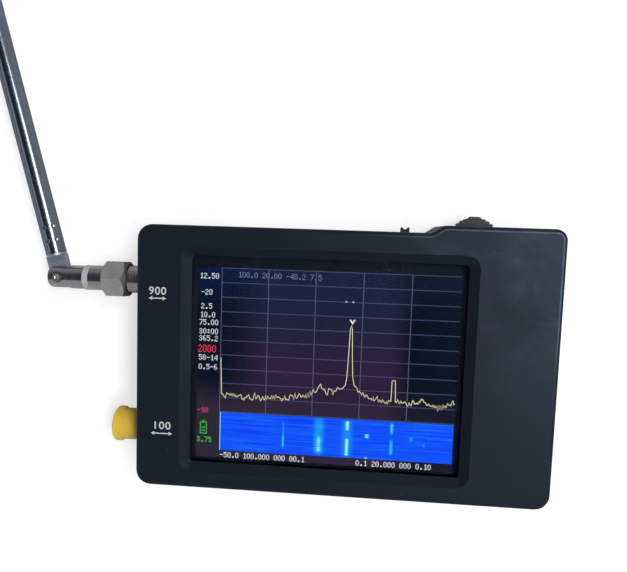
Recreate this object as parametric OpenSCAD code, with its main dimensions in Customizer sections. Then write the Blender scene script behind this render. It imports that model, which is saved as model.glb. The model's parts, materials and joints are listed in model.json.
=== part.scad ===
// Handheld spectrum analyzer with a telescopic whip antenna. Sizes are in millimetres.
// The origin is the middle of the rear face. X points right, Y points to the top edge with the
// controls, and Z points out of the screen.

/* [Case] */
// Width of the case
case_w = 91.3; // [90:0.1:100]
// Height of the case beside the shoulder
case_h = 58.7; // [58:0.1:66]
// Thickness of the case
case_t = 17.1; // [16.6:0.1:22]
// Thickness of the shell walls
wall = 1.6; // [1.2:0.1:1.8]
// Corner radius of the case outline
corner_r = 3.3; // [2.4:0.1:5]
// Rounding of the front and rear edges
edge_r = 1; // [0.4:0.1:1.2]
// Height of the lip that joins the two shells
lip_h = 1; // [0.5:0.1:1.5]

/* [Shoulder] */
// Rise of the top edge at the jog lever
shoulder_rise = 1.65; // [1:0.05:2.5]
// Place of the top of the shoulder's ramp
shoulder_x = 20.3; // [16:0.1:20.5]
// Width of the shoulder's ramp
ramp_run = 2.4; // [1.5:0.1:4]
// Radius of the outer corner of the shoulder
shoulder_r = 2.4; // [1.6:0.1:4]
// Radius of the two bends of the ramp
ramp_r = 2; // [1.3:0.1:2]

/* [Window] */
// Width of the window opening
window_w = 59.8; // [58.6:0.1:63]
// Height of the window opening
window_h = 46.4; // [44.2:0.1:48]
// Place of the window's middle across the case
window_x = -3.7; // [-5:0.05:-3]
// Place of the window's middle up the case
window_y = -0.35; // [-0.5:0.05:0.5]
// Corner radius of the window opening
window_r = 0.8; // [0.3:0.1:2]
// Width of the sloping border of the window
bevel_w = 2; // [1:0.1:2.4]
// Depth of the sloping border of the window
bevel_depth = 1.2; // [0.6:0.1:1.4]

/* [Display] */
// Width of the LCD panel
lcd_w = 69.2; // [67:0.1:71]
// Height of the LCD panel
lcd_h = 50; // [49:0.1:51.4]
// Thickness of the LCD panel with its backlight
lcd_t = 2.6; // [2:0.1:3.2]
// Width of the lit area
lcd_lit_w = 57.6; // [50:0.1:58]
// Blank border at the left end of the LCD panel
lcd_border = 3; // [2.6:0.1:4]
// Thickness of the touch panel
touch_t = 1.2; // [0.8:0.1:1.6]
// Thickness of the tape between the touch panel and the LCD panel
touch_tape_t = 0.15; // [0.1:0.05:0.3]
// Width of the tape between the touch panel and the LCD panel
touch_tape_w = 1.2; // [0.8:0.1:2]
// Thickness of the window gasket
gasket_t = 0.3; // [0.2:0.05:0.5]
// Width of the window gasket
gasket_w = 0.75; // [0.5:0.05:1]
// Width of the foam pads behind the LCD panel
foam_w = 3; // [2:0.1:5]
// Width of the LCD flex
flex_w = 30; // [20:0.5:36]
// Thickness of the LCD flex
flex_t = 0.2; // [0.12:0.02:0.3]

/* [Board] */
// Thickness of the main board
board_t = 1.6; // [1.2:0.1:1.7]
// Gap between the board's edge and the shell
board_gap = 0.5; // [0.3:0.1:0.7]
// Width of the shield can
shield_w = 24; // [14:0.5:26]
// Height of the shield can along the board
shield_h = 38; // [20:0.5:38]
// Depth of the shield can
shield_t = 2.2; // [1.6:0.1:2.6]

/* [Battery] */
// Width of the battery pouch
battery_w = 38; // [24:0.5:40]
// Height of the battery pouch
battery_h = 26; // [16:0.5:28]
// Place of the battery's middle across the case
battery_x = 14; // [12:0.5:15]
// Place of the battery's middle up the case
battery_y = -9; // [-10:0.5:-7]
// Thickness of the tape under the battery
tape_t = 0.2; // [0.1:0.05:0.4]
// Diameter of the battery leads
lead_d = 1; // [0.6:0.1:1.2]

/* [Case screws] */
// Distance of the case screws from the sides of the case
screw_inset = 4.9; // [4.6:0.1:5.2]
// Diameter of the case screws
screw_d = 2; // [1.6:0.1:2.2]
// Diameter of the case screw heads
screw_head_d = 3.6; // [3:0.1:4]
// Thickness of the case screw heads
screw_head_t = 1.2; // [0.8:0.1:1.6]
// Depth of the case screw heads below the rear face
screw_sink = 0.6; // [0.2:0.1:1]

/* [SMA jacks] */
// Distance of the upper jack from the top edge
upper_inset = 12.95; // [12:0.05:14]
// Distance of the lower jack from the bottom edge
lower_inset = 11.15; // [11.1:0.05:13]
// Reach of the jacks beyond the case
sma_reach = 6.7; // [6.4:0.05:10]
// Diameter of the jack thread
thread_d = 6.35; // [5.8:0.05:6.6]
// Pitch of the jack thread
thread_pitch = 0.7056; // [0.5:0.0001:1]
// Width of the jack's square flange
flange_w = 6.4; // [6.2:0.1:6.4]
// Thickness of the jack's flange
flange_t = 1.6; // [1.2:0.1:1.8]

/* [USB socket] */
// Place of the USB socket across the case
usb_x = -4; // [-10:0.5:0]
// Width of the USB socket
usb_w = 8.94; // [8:0.02:9.4]
// Height of the USB socket
usb_h = 3.26; // [3:0.02:3.4]
// Depth of the USB socket
usb_len = 7.3; // [6:0.1:8]

/* [Power switch] */
// Place of the power knob across the case when on
power_x = 13; // [10.5:0.1:13]
// Width of the power knob
knob_w = 2; // [1.4:0.1:2.2]
// Thickness of the power knob
knob_t = 1.3; // [1:0.1:1.6]
// Reach of the power knob beyond the case
knob_reach = 1.2; // [0.8:0.05:2]
// Travel of the power knob
knob_travel = 2; // [1:0.1:2]

/* [Jog switch] */
// Place of the jog lever across the case
jog_x = 28.6; // [27:0.1:29]
// Radius of the jog lever's toothed rim
jog_r = 5.7; // [5.2:0.05:5.8]
// Reach of the jog lever beyond the shoulder
jog_reach = 2.4; // [2:0.05:2.6]
// Thickness of the jog lever
jog_t = 2.2; // [1.6:0.1:2.4]
// Diameter of the jog lever's pivot pin
jog_pin_d = 1.2; // [0.8:0.1:1.4]
// Travel of the jog lever when pressed
jog_travel = 0.6; // [0.3:0.05:0.7]

/* [Dust cap] */
// Outer diameter of the dust cap
cap_d = 7.3; // [6.9:0.05:8]
// Diameter of the dust cap's rim
cap_rim_d = 8.1; // [8.1:0.1:9.5]
// Width of the dust cap's rim
cap_rim_len = 1.8; // [1.5:0.1:4]
// Thickness of the dust cap's end
cap_end_t = 0.65; // [0.4:0.05:1]

/* [Antenna connector] */
// Width of the coupling nut across its flats
nut_af = 8; // [7.8:0.02:9]
// Length of the coupling nut
nut_len = 5.75; // [5.4:0.05:7]
// Length of jack thread inside the coupling nut
nut_cover = 2.1; // [1.8:0.05:3]
// Thickness of the coupling nut's back wall
nut_back = 1.45; // [1.2:0.05:1.6]
// Diameter of the ferrule behind the nut
ferrule_d = 5.8; // [5.6:0.1:6.4]
// Length of the ferrule behind the nut
ferrule_len = 3.5; // [1.5:0.05:4]
// Thickness of the white insulator ring
insulator_t = 1.4; // [1:0.05:3]

/* [Antenna elbow] */
// Diameter of the elbow
elbow_d = 5.5; // [4.9:0.1:5.8]
// Distance from the insulator ring to the elbow's pivot
elbow_len = 5.8; // [4.4:0.05:7]
// Reach of the elbow beyond its pivot
elbow_end = 2.2; // [2.1:0.05:3]
// Radius of the corners at the elbow's end
elbow_corner_r = 1.6; // [1:0.1:2]
// Thickness of the whip's tang
tang_t = 2; // [1.6:0.1:2.2]
// Width of the whip's tang
tang_w = 4.4; // [4:0.1:4.8]
// Diameter of the elbow rivet
rivet_d = 1.6; // [1.2:0.1:1.8]
// Bend of the elbow as stored, from straight
elbow_bend = 75; // [70:1:90]

/* [Antenna whip] */
// Diameter of the base tube
whip_d = 4.6; // [4.4:0.05:5.4]
// Step in diameter from one section to the next
whip_step = 0.72; // [0.68:0.01:0.76]
// Wall thickness of the whip tubes
tube_wall = 0.2; // [0.18:0.01:0.22]
// Distance from the pivot to the top of the base tube
whip_len = 68; // [50:0.5:90]
// Distance that each section stands out of the one outside it when collapsed
whip_stagger = 0.8; // [0.5:0.1:1.5]
// Length of the friction clips
clip_len = 4; // [2:0.5:6]
// Length of the tip button
tip_len = 3.6; // [3.2:0.1:6]

/* [Fits] */
// Gap around pieces that are fixed together
fit_gap = 0.02; // [0.01:0.005:0.03]
// Gap around pieces that turn or slide
run_gap = 0.05; // [0.03:0.005:0.06]
// Gap around pieces that pass through a shell
pass_gap = 0.25; // [0.15:0.05:0.3]

/* [Hidden] */

// Colours for the preview
black = [0.11, 0.13, 0.16];
steel = [0.72, 0.72, 0.7];
gold = [0.8, 0.65, 0.3];
green = [0.08, 0.3, 0.16];
white = [0.92, 0.92, 0.88];

// Levels through the case
port_z = case_t / 2;
ceiling_z = case_t - wall;
solder_r = 0.38;
board_top = port_z - solder_r - fit_gap;
board_z = board_top - board_t;
touch_z = ceiling_z - gasket_t - touch_t;
lcd_z = touch_z - touch_tape_t - lcd_t;
gasket_gap = 0.4;
tape_inset = 0.3;
flex_lip = 0.3;
flex_lead = 0.6;
flex_landing = 3;

// Places across the case
top_y = case_h / 2;
shoulder_y = top_y + shoulder_rise;
upper_y = top_y - upper_inset;
lower_y = lower_inset - top_y;
board_y = top_y - wall - board_gap;
lcd_x = window_x - lcd_lit_w / 2 + lcd_w / 2 - lcd_border;
screw_places = [for (sx = [-1, 1]) for (sy = [-1, 1])
    [sx * (case_w / 2 - screw_inset), sy * (top_y - screw_inset)]];
boss_r = screw_d / 2 + 1.5;

// Case screws
screw_seat = screw_sink + screw_head_t;
screw_tip = ceiling_z - 1.4;

// SMA jacks, measured outward from the end of the jack
jack_back = -(sma_reach + wall + fit_gap);
jack_foot = jack_back - flange_t;
socket_depth = 1.9;
socket_r = thread_d / 2 - 0.875;
core_r = socket_r - 0.23;
contact_r = 0.635;
leg_w = 1;
leg_len = 4.6;

// Board layout
board_left = -case_w / 2 - sma_reach - jack_foot + fit_gap;
board_right = case_w / 2 - wall - board_gap;
shield_x = board_left + leg_len + 1.1 + shield_w / 2;
battery_t = board_z - 0.4 - wall - tape_t;
plug_z = board_z - 1.7;
plug_y = battery_y + battery_h / 2 + 4.5;
plug_x = battery_x - 14;

// Chips on the front of the board, and those under the shield can
processor_x = 8;
processor_y = 4;
processor_w = 7;
processor_t = 1.4;
charger_x = 20;
charger_y = -6;
charger_w = 5;
charger_h = 4;
audio_x = -8;
audio_y = -8;
small_chip_w = 3;
mixer_w = 4;
synth_w = 5;
chip_t = 0.9;
chip_r = 0.2;
chip_step = 4;
oscillator_x = -4;
oscillator_y = 10;
oscillator_w = 3.2;
oscillator_h = 2.5;
oscillator_t = 1.2;

// USB socket
usb_mid = board_z - usb_h / 2 - fit_gap;
usb_front = top_y - 0.4;
usb_skin = 0.3;
usb_r = 1.2;

// Power switch
power_mid = board_z - 1.3;
switch_w = 6.8;
switch_depth = 2.8;
switch_t = 2.6;
knob_foot = 1.2;

// Jog switch
jog_y = shoulder_y + jog_reach - jog_r - 0.15;
jog_mid = board_z - 0.7 - jog_t / 2;
jog_plate_t = 0.7;
jog_plate_w = 5;
jog_front = board_y - 0.2;
jog_back = jog_front - 6;
jog_heel = jog_back + 1.6 + jog_travel;
jog_tail = jog_y - jog_heel - 2;
jog_floor = jog_mid - jog_t / 2 - run_gap - jog_plate_t - run_gap;

// Openings in the top edge as place, width, low end, high end and height of the edge
notches = [
    [usb_x, usb_w + 2 * pass_gap, usb_mid - usb_h / 2 - pass_gap, usb_mid + usb_h / 2 + pass_gap, top_y],
    [power_x - knob_travel / 2, knob_w + knob_travel + 2 * pass_gap,
        power_mid - knob_t / 2 - pass_gap, power_mid + knob_t / 2 + pass_gap, top_y],
    [jog_x, 2 * jog_r + 2 * pass_gap, jog_mid - jog_t / 2 - pass_gap, jog_mid + jog_t / 2 + pass_gap,
        shoulder_y]];

// Antenna connector, measured outward from the end of the upper jack
nut_start = -nut_cover;
nut_end = nut_start + nut_len;
nut_floor = nut_end - nut_back;
nut_turn = 3;
nut_hole_r = thread_d / 2 + run_gap;
ring_t = 0.35;
groove_start = nut_floor - ring_t - 2 * fit_gap;
groove_r = core_r + 0.23;
stem_r = core_r + 0.53;
ferrule_start = nut_end + run_gap;
ferrule_end = ferrule_start + ferrule_len;
insulator_end = ferrule_end + insulator_t;
pin_tip = -socket_depth - 2.3;
pin_tip_r = 0.45;

// Antenna elbow
elbow_start = insulator_end + run_gap;
pivot_w = elbow_start + elbow_len;
washer_t = 0.2;
slot_t = tang_t + 2 * washer_t + 4 * fit_gap;
pivot = [-case_w / 2 - sma_reach - pivot_w, upper_y, port_z];
rivet_head_r = rivet_d / 2 + 0.28;
rivet_seat = elbow_d / 2 - 0.25;

// Antenna whip, measured along the whip from the pivot
tang_len = 5;
root_collar = 0.5;
root_plug = 8;
foot_rise = 0.5;
crimp_low = 3;
crimp_high = 6.2;
tip_grip = 2.4;
tip_gap = 0.2;
tube_start = tang_len + root_collar;
plug_end = tube_start + root_plug;
neck_len = 1.5;
function whip_r(i) = whip_d / 2 - (i - 1) * whip_step / 2;
function bore_r(i) = whip_r(i) - tube_wall;
function tube_foot(i) = i == 1 ? tube_start : plug_end + foot_rise * (i - 1);
function tube_top(i) = whip_len + (i - 1) * whip_stagger;
tip_start = tube_top(4) + tip_gap;

// Outlines with rounded corners
function unit(v) = v / norm(v);
function inward(a, b) = let (d = unit(b - a)) [-d.y, d.x];
function bend(a, b, c) = sign(cross(b - a, c - b));
function inset_corner(a, b, c, d) =
    let (n1 = inward(a, b), n2 = inward(b, c)) b + d * (n1 + n2) / (1 + n1 * n2);
function corner_arc(a, b, c, r, steps) =
    let (u = unit(a - b), v = unit(c - b), half = acos(u * v) / 2)
    let (centre = b + unit(u + v) * r / sin(half), start = b + u * r / tan(half) - centre)
    let (from = atan2(start.y, start.x), sweep = bend(a, b, c) * (180 - 2 * half))
    [for (i = [0 : steps]) let (t = from + sweep * i / steps) centre + r * [cos(t), sin(t)]];
function rounded(p, radii, d, steps) =
    let (n = len(p))
    let (q = [for (i = [0 : n - 1]) inset_corner(p[(i + n - 1) % n], p[i], p[(i + 1) % n], d)])
    [for (i = [0 : n - 1]) let (a = q[(i + n - 1) % n], b = q[i], c = q[(i + 1) % n])
        each corner_arc(a, b, c, radii[i] - bend(a, b, c) * d, steps)];
function box_points(w, h) = [[-w / 2, -h / 2], [w / 2, -h / 2], [w / 2, h / 2], [-w / 2, h / 2]];
function box_outline(w, h, r) = rounded(box_points(w, h), [r, r, r, r], 0, 6);
function moved(points, x, y) = [for (p = points) p + [x, y]];

// Outline of the case, drawn in by a distance
case_points = [[-case_w / 2, -top_y], [case_w / 2, -top_y], [case_w / 2, shoulder_y],
    [shoulder_x, shoulder_y], [shoulder_x - ramp_run, top_y], [-case_w / 2, top_y]];
case_radii = [corner_r, corner_r, shoulder_r, ramp_r, ramp_r, corner_r];
function case_outline(d) = rounded(case_points, case_radii, d, 6);
function wall_outline(d) = rounded(case_points, [for (r = case_radii) max(r, d + 0.3)], d, 6);

// Rings of the rounded edge, from the full outline to the flat face
edge_steps = 5;
function edge_inset(i) = edge_r * (1 - cos(90 * i / edge_steps));
function edge_drop(i) = edge_r * (1 - sin(90 * i / edge_steps));

// Solid through a list of rings, each an outline and a level, with ends that fan out from the middle
module skin(rings) {
    n = len(rings[0][0]);
    m = len(rings);
    foot = m * n;
    head = foot + 1;
    polyhedron(
        points = concat([for (ring = rings) for (p = ring[0]) [p.x, p.y, ring[1]]],
            [[0, 0, rings[0][1]], [0, 0, rings[m - 1][1]]]),
        faces = concat(
            [for (i = [0 : n - 1]) [foot, i, (i + 1) % n]],
            [for (i = [0 : n - 1]) [head, (m - 1) * n + (i + 1) % n, (m - 1) * n + i]],
            [for (k = [0 : m - 2]) for (i = [0 : n - 1])
                [k * n + i, (k + 1) * n + i, (k + 1) * n + (i + 1) % n, k * n + (i + 1) % n]]));
}

// Box with rounded upright corners, standing on a level
module slab(x, y, z, w, h, t, r) {
    translate([x, y, z]) linear_extrude(t) polygon(box_outline(w, h, r));
}

// Round rod between two levels
module rod(r, z0, z1) {
    translate([0, 0, z0]) cylinder(r = r, h = z1 - z0, $fn = 64);
}

// Round rod across the elbow between two levels
module cross_rod(r, x0, x1) {
    rotate([0, 90, 0]) rod(r, x0, x1);
}

// Places a jack's pieces with Z pointing out of the left side of the case
module at_jack(y) {
    translate([-case_w / 2 - sma_reach, y, port_z]) rotate([0, -90, 0]) children();
}

// Places the whip's pieces with Z running up the whip from the pivot
module at_whip() {
    translate(pivot) rotate([0, 0, 180 - elbow_bend]) rotate([0, 90, 0]) children();
}

// Holes for both jacks in the left wall
module jack_holes() {
    for (y = [upper_y, lower_y]) at_jack(y) rod(thread_d / 2 + pass_gap, -sma_reach - wall - 1, 0);
}

// Square around the window at a distance from its edge
module window_square(d) {
    square([window_w + 2 * d, window_h + 2 * d], center = true);
}

// Frame of ribs that holds the LCD panel and leaves room for the gasket
module display_rib() {
    gap = 0.3;
    rib = 1;
    drop = touch_t + gasket_t + touch_tape_t + 1.2;
    difference() {
        translate([lcd_x, 0, ceiling_z - drop]) linear_extrude(drop + 0.2) difference() {
            square([lcd_w + 2 * gap + 2 * rib, lcd_h + 2 * gap + 2 * rib], center = true);
            square([lcd_w + 2 * gap, lcd_h + 2 * gap], center = true);
        }
        translate([window_x, window_y, ceiling_z - gasket_t - pass_gap]) linear_extrude(gasket_t + 1)
            window_square(gasket_gap + gasket_w + pass_gap);
    }
}

// Tabs that close the upper part of each opening in the top edge
module notch_tabs() {
    for (n = notches) {
        translate([n[0] - n[1] / 2 + 0.1, n[4] - wall / 2, n[3]])
            cube([n[1] - 0.2, wall / 2, port_z - n[3] + 0.3]);
    }
}

// The stretch of a shell's outer block between two levels
module shell_block(z0, z1) {
    intersection() {
        children();
        translate([-case_w, -case_h, z0]) cube([2 * case_w, 2 * case_h, z1 - z0]);
    }
}

module front_shell() {
    color(black) difference() {
        union() {
            difference() {
                shell_block(port_z, case_t + 1) skin(concat([[case_outline(0), port_z - 2]],
                    [for (i = [0 : edge_steps]) [case_outline(edge_inset(i)), case_t - edge_drop(i)]]));
                translate([0, 0, port_z - 1])
                    linear_extrude(ceiling_z - port_z + 1) polygon(wall_outline(wall));
                translate([0, 0, port_z - 1])
                    linear_extrude(lip_h + 0.1 + 1) polygon(wall_outline(wall / 2));
            }
            display_rib();
            notch_tabs();
            for (p = screw_places) translate(p) rod(boss_r, board_top, ceiling_z + 0.2);
        }
        translate([window_x, window_y, 0]) skin([
            [box_outline(window_w, window_h, window_r), ceiling_z - 1],
            [box_outline(window_w, window_h, window_r), case_t - bevel_depth],
            [box_outline(window_w + 2 * bevel_w, window_h + 2 * bevel_w, window_r + bevel_w), case_t],
            [box_outline(window_w + 2 * bevel_w, window_h + 2 * bevel_w, window_r + bevel_w), case_t + 1]]);
        for (p = screw_places) translate(p) rod(screw_d / 2 + fit_gap, board_top - 1, screw_tip + 0.3);
        jack_holes();
    }
}

module rear_shell() {
    color(black) difference() {
        union() {
            difference() {
                union() {
                    shell_block(-1, port_z) skin(concat([for (i = [edge_steps : -1 : 0])
                        [case_outline(edge_inset(i)), edge_drop(i)]], [[case_outline(0), port_z + 2]]));
                    translate([0, 0, port_z - 2])
                        linear_extrude(lip_h + 2) polygon(wall_outline(wall / 2 + 0.1));
                }
                translate([0, 0, wall]) linear_extrude(case_t) polygon(wall_outline(wall));
            }
            for (p = screw_places) translate(p) rod(boss_r, wall - 0.2, board_z);
        }
        for (p = screw_places) translate(p) {
            rod(screw_head_d / 2 + 0.2, -1, screw_seat);
            rod(screw_d / 2 + 0.15, 0, board_z + 1);
        }
        jack_holes();
        for (n = notches) {
            translate([n[0] - n[1] / 2, n[4] - wall - 0.2, n[2]]) cube([n[1], wall + 1, case_t]);
        }
    }
}

module case_screws() {
    color(steel) for (p = screw_places) translate(p) difference() {
        union() {
            rod(screw_head_d / 2, screw_sink, screw_seat);
            rod(screw_d / 2, screw_seat - 0.2, screw_tip);
        }
        for (a = [0, 90]) rotate(a) translate([-screw_head_d / 4, -0.25, 0])
            cube([screw_head_d / 2, 0.5, screw_sink + screw_head_t / 2]);
    }
}

// The gasket lies on the touch panel, around the window
module window_gasket() {
    color([0.15, 0.15, 0.15]) translate([window_x, window_y, ceiling_z - gasket_t])
        linear_extrude(gasket_t) difference() {
            window_square(gasket_gap + gasket_w);
            window_square(gasket_gap);
        }
}

module touch_panel() {
    color([0.1, 0.1, 0.14]) slab(lcd_x, 0, touch_z, lcd_w, lcd_h, touch_t, 0.4);
}

module touch_tape() {
    outer_w = lcd_w - 2 * tape_inset;
    outer_h = lcd_h - 2 * tape_inset;
    color([0.1, 0.1, 0.1]) translate([lcd_x, 0, touch_z - touch_tape_t]) linear_extrude(touch_tape_t)
        difference() {
            square([outer_w, outer_h], center = true);
            square([outer_w - 2 * touch_tape_w, outer_h - 2 * touch_tape_w], center = true);
        }
}

module lcd_panel() {
    color([0.05, 0.05, 0.08]) slab(lcd_x, 0, lcd_z, lcd_w, lcd_h, lcd_t, 0.4);
}

module lcd_foam_pads() {
    color([0.25, 0.25, 0.27]) for (s = [-1, 1])
        slab(lcd_x - 2, s * (lcd_h / 2 - 4), board_top, lcd_w - 14, foam_w, lcd_z - board_top, 0.4);
}

// The flex leaves the right end of the LCD panel and folds back under it onto the board
module lcd_flex() {
    start = lcd_x + lcd_w / 2 + fit_gap;
    low = board_top + fit_gap;
    high = lcd_z + flex_lip;
    fold_r = (high - low) / 2;
    color([0.75, 0.5, 0.15]) translate([0, flex_w / 2, 0]) rotate([90, 0, 0]) linear_extrude(flex_w) {
        translate([start, high - flex_t]) square([flex_lead, flex_t]);
        translate([start - flex_landing, low]) square([flex_landing + flex_lead, flex_t]);
        translate([start + flex_lead, low + fold_r]) intersection() {
            difference() {
                circle(r = fold_r, $fn = 64);
                circle(r = fold_r - flex_t, $fn = 64);
            }
            translate([0, -2 * fold_r]) square([2 * fold_r, 4 * fold_r]);
        }
    }
}

module main_board() {
    color(green) difference() {
        translate([board_left, -board_y, board_z]) cube([board_right - board_left, 2 * board_y, board_t]);
        for (p = screw_places) translate(p) rod(screw_d / 2 + 0.2, board_z - 1, board_top + 1);
    }
}

// Chips on the front of the board, and the mixer and synthesizer under the shield can
module board_chips() {
    left = shield_x - chip_step;
    under = board_z - chip_t;
    color([0.08, 0.08, 0.09]) {
        slab(processor_x, processor_y, board_top, processor_w, processor_w, processor_t, chip_r);
        slab(charger_x, charger_y, board_top, charger_w, charger_h, chip_t, chip_r);
        slab(audio_x, audio_y, board_top, small_chip_w, small_chip_w, chip_t, chip_r);
        slab(left, upper_y - 2 * chip_step, under, mixer_w, mixer_w, chip_t, chip_r);
        slab(shield_x + chip_step, lower_y + 2 * chip_step, under, synth_w, synth_w, chip_t, chip_r);
        slab(left, lower_y + 3 * chip_step, under, small_chip_w, small_chip_w, chip_t, chip_r);
    }
}

module oscillator_can() {
    color(steel) slab(oscillator_x, oscillator_y, board_top, oscillator_w, oscillator_h, oscillator_t,
        chip_r);
}

module shield_can() {
    skin_t = 0.2;
    color(steel) difference() {
        slab(shield_x, (upper_y + lower_y) / 2, board_z - shield_t, shield_w, shield_h, shield_t, 0.6);
        slab(shield_x, (upper_y + lower_y) / 2, board_z - shield_t + skin_t,
            shield_w - 2 * skin_t, shield_h - 2 * skin_t, shield_t, 0.4);
    }
}

module battery_tape() {
    color([0.9, 0.9, 0.85]) slab(battery_x, battery_y, wall, battery_w - 8, battery_h - 8, tape_t, 0.5);
}

module battery() {
    color([0.75, 0.76, 0.78])
        slab(battery_x, battery_y, wall + tape_t, battery_w, battery_h, battery_t, 1.2);
}

module battery_leads() {
    color([0.7, 0.1, 0.1]) for (s = [-1, 1])
        translate([plug_x + s, battery_y + battery_h / 2 + fit_gap, plug_z]) rotate([-90, 0, 0])
            rod(lead_d / 2, 0, plug_y - 1.6 - battery_y - battery_h / 2 - 2 * fit_gap);
}

module battery_plug() {
    color(white) translate([plug_x - 2.4, plug_y - 1.6, plug_z - 1.1]) cube([4.8, 4.6, 2.2]);
}

module battery_header() {
    color([0.85, 0.82, 0.7]) difference() {
        translate([plug_x - 3.1, plug_y, plug_z - 1.7]) cube([6.2, 4.6, 3.4 - fit_gap]);
        translate([plug_x - 2.4 - fit_gap, plug_y - 1, plug_z - 1.1 - fit_gap])
            cube([4.8 + 2 * fit_gap, 4 + fit_gap, 2.2 + 2 * fit_gap]);
    }
}

// Outer side of the jack's thread, from the plain root to the chamfered end
function thread_side() =
    let (r = thread_d / 2, p = thread_pitch, turns = floor((sma_reach - 1.2) / p))
    concat([for (i = [turns : -1 : 1]) each [[r, -i * p - 0.5], [r, -i * p - 0.5 + 0.46 * p],
        [r - 0.22, -i * p - 0.5 + 0.66 * p], [r - 0.22, -i * p - 0.5 + 0.74 * p],
        [r, -i * p - 0.5 + 0.94 * p]]], [[r, -0.45], [r - 0.45, 0]]);

module jack_body(y) {
    color(gold) at_jack(y) {
        rotate_extrude($fn = 64) polygon(concat([[core_r, jack_foot], [thread_d / 2, jack_foot]],
            thread_side(), [[socket_r, 0], [socket_r, -socket_depth], [core_r, -socket_depth]]));
        translate([0, 0, jack_foot]) linear_extrude(flange_t) difference() {
            square(flange_w, center = true);
            circle(r = core_r, $fn = 64);
        }
        for (s = [-1, 1]) for (x = [board_top - port_z + fit_gap, board_z - port_z - fit_gap - leg_w])
            translate([x, s * (flange_w - leg_w) / 2 - leg_w / 2, jack_foot - leg_len])
                cube([leg_w, leg_w, leg_len + 0.2]);
    }
}

module jack_dielectric(y) {
    color(white) at_jack(y) difference() {
        rod(core_r - fit_gap, jack_foot, -socket_depth);
        rod(contact_r + fit_gap, jack_foot - 1, 1);
    }
}

module jack_contact(y) {
    color(gold) at_jack(y) difference() {
        union() {
            rod(contact_r, jack_foot, -socket_depth);
            rod(solder_r, jack_foot - 2.4, jack_foot + 0.2);
        }
        rod(pin_tip_r + run_gap, -socket_depth - 3, 1);
    }
}

module upper_jack_body() {
    jack_body(upper_y);
}

module upper_jack_dielectric() {
    jack_dielectric(upper_y);
}

module upper_jack_contact() {
    jack_contact(upper_y);
}

module lower_jack_body() {
    jack_body(lower_y);
}

module lower_jack_dielectric() {
    jack_dielectric(lower_y);
}

module lower_jack_contact() {
    jack_contact(lower_y);
}

module dust_cap() {
    inner = thread_d / 2 + run_gap;
    outer = cap_d / 2;
    rim = cap_rim_d / 2;
    end = cap_end_t + 0.1;
    mouth = -sma_reach + 0.25;
    soft = min(0.3, 0.75 * (rim - outer));
    color([0.9, 0.7, 0.15]) at_jack(lower_y) rotate_extrude($fn = 64) polygon([
        [0, 0.1], [inner, 0.1], [inner, mouth], [outer - 0.15, mouth], [outer, mouth + 0.15],
        [outer, end - cap_rim_len], [rim - soft, end - cap_rim_len], [rim, end - cap_rim_len + soft],
        [rim, end - soft], [rim - soft, end], [0, end]]);
}

// Places the USB socket's pieces with Z running into the case
module at_usb() {
    translate([usb_x, usb_front, usb_mid]) rotate([90, 0, 0]) children();
}

module usb_shell() {
    color(steel) at_usb() linear_extrude(usb_len) difference() {
        polygon(box_outline(usb_w, usb_h, usb_r));
        polygon(box_outline(usb_w - 2 * usb_skin, usb_h - 2 * usb_skin, usb_r - usb_skin));
    }
}

module usb_tongue() {
    slack = 2 * (usb_skin + fit_gap);
    color([0.1, 0.1, 0.1]) at_usb() {
        slab(0, 0, usb_len - 2, usb_w - slack, usb_h - slack, 2, usb_r - usb_skin);
        slab(0, 0, 0.9, usb_w - 2.25, 0.7, usb_len - 2, 0.2);
    }
}

module power_switch_housing() {
    color([0.75, 0.75, 0.72]) difference() {
        translate([power_x - knob_travel / 2 - switch_w / 2, board_y - switch_depth, board_z - switch_t])
            cube([switch_w, switch_depth, switch_t - fit_gap]);
        translate([power_x - knob_travel - knob_w / 2 - run_gap, board_y - knob_foot - run_gap,
            power_mid - knob_t / 2 - run_gap])
            cube([knob_w + knob_travel + 2 * run_gap, knob_foot + 1, knob_t + 2 * run_gap]);
    }
}

// The knob's top has a notch for a fingernail
module power_knob() {
    top = top_y + knob_reach;
    notch_w = knob_w * 0.36;
    color([0.06, 0.06, 0.07]) translate([power_x, 0, power_mid - knob_t / 2]) linear_extrude(knob_t)
        polygon([[-knob_w / 2, board_y - knob_foot], [knob_w / 2, board_y - knob_foot],
            [knob_w / 2, top - 0.25], [knob_w / 2 - 0.15, top], [notch_w, top], [0, top - 0.6],
            [-notch_w, top], [0.15 - knob_w / 2, top], [-knob_w / 2, top - 0.25]]);
}

module jog_housing() {
    width = 9.6;
    color([0.12, 0.12, 0.13]) difference() {
        translate([jog_x - width / 2, jog_back, jog_floor - 0.7])
            cube([width, jog_front - jog_back, board_z - fit_gap - jog_floor + 0.7]);
        translate([jog_x - jog_plate_w / 2 - run_gap, jog_back + 1, jog_floor])
            cube([jog_plate_w + 2 * run_gap, 6, board_z - 0.3 - jog_floor]);
    }
}

module jog_push_contact() {
    color(steel) translate([jog_x - 1.5, jog_back + 1 + fit_gap, jog_floor + fit_gap])
        cube([3, 0.6 - 3 * fit_gap, jog_t]);
}

module jog_carriage() {
    front = jog_y + jog_pin_d / 2 + 0.3;
    color(white) difference() {
        translate([jog_x - jog_plate_w / 2, jog_heel, jog_floor + run_gap / 2])
            cube([jog_plate_w, front - jog_heel, jog_plate_t]);
        translate([jog_x, jog_y, 0]) rod(jog_pin_d / 2 + fit_gap, 0, case_t);
    }
}

module jog_pin() {
    color(steel) translate([jog_x, jog_y, 0])
        rod(jog_pin_d / 2, jog_floor + run_gap / 2, jog_mid + jog_t / 2 + 0.3);
}

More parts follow.
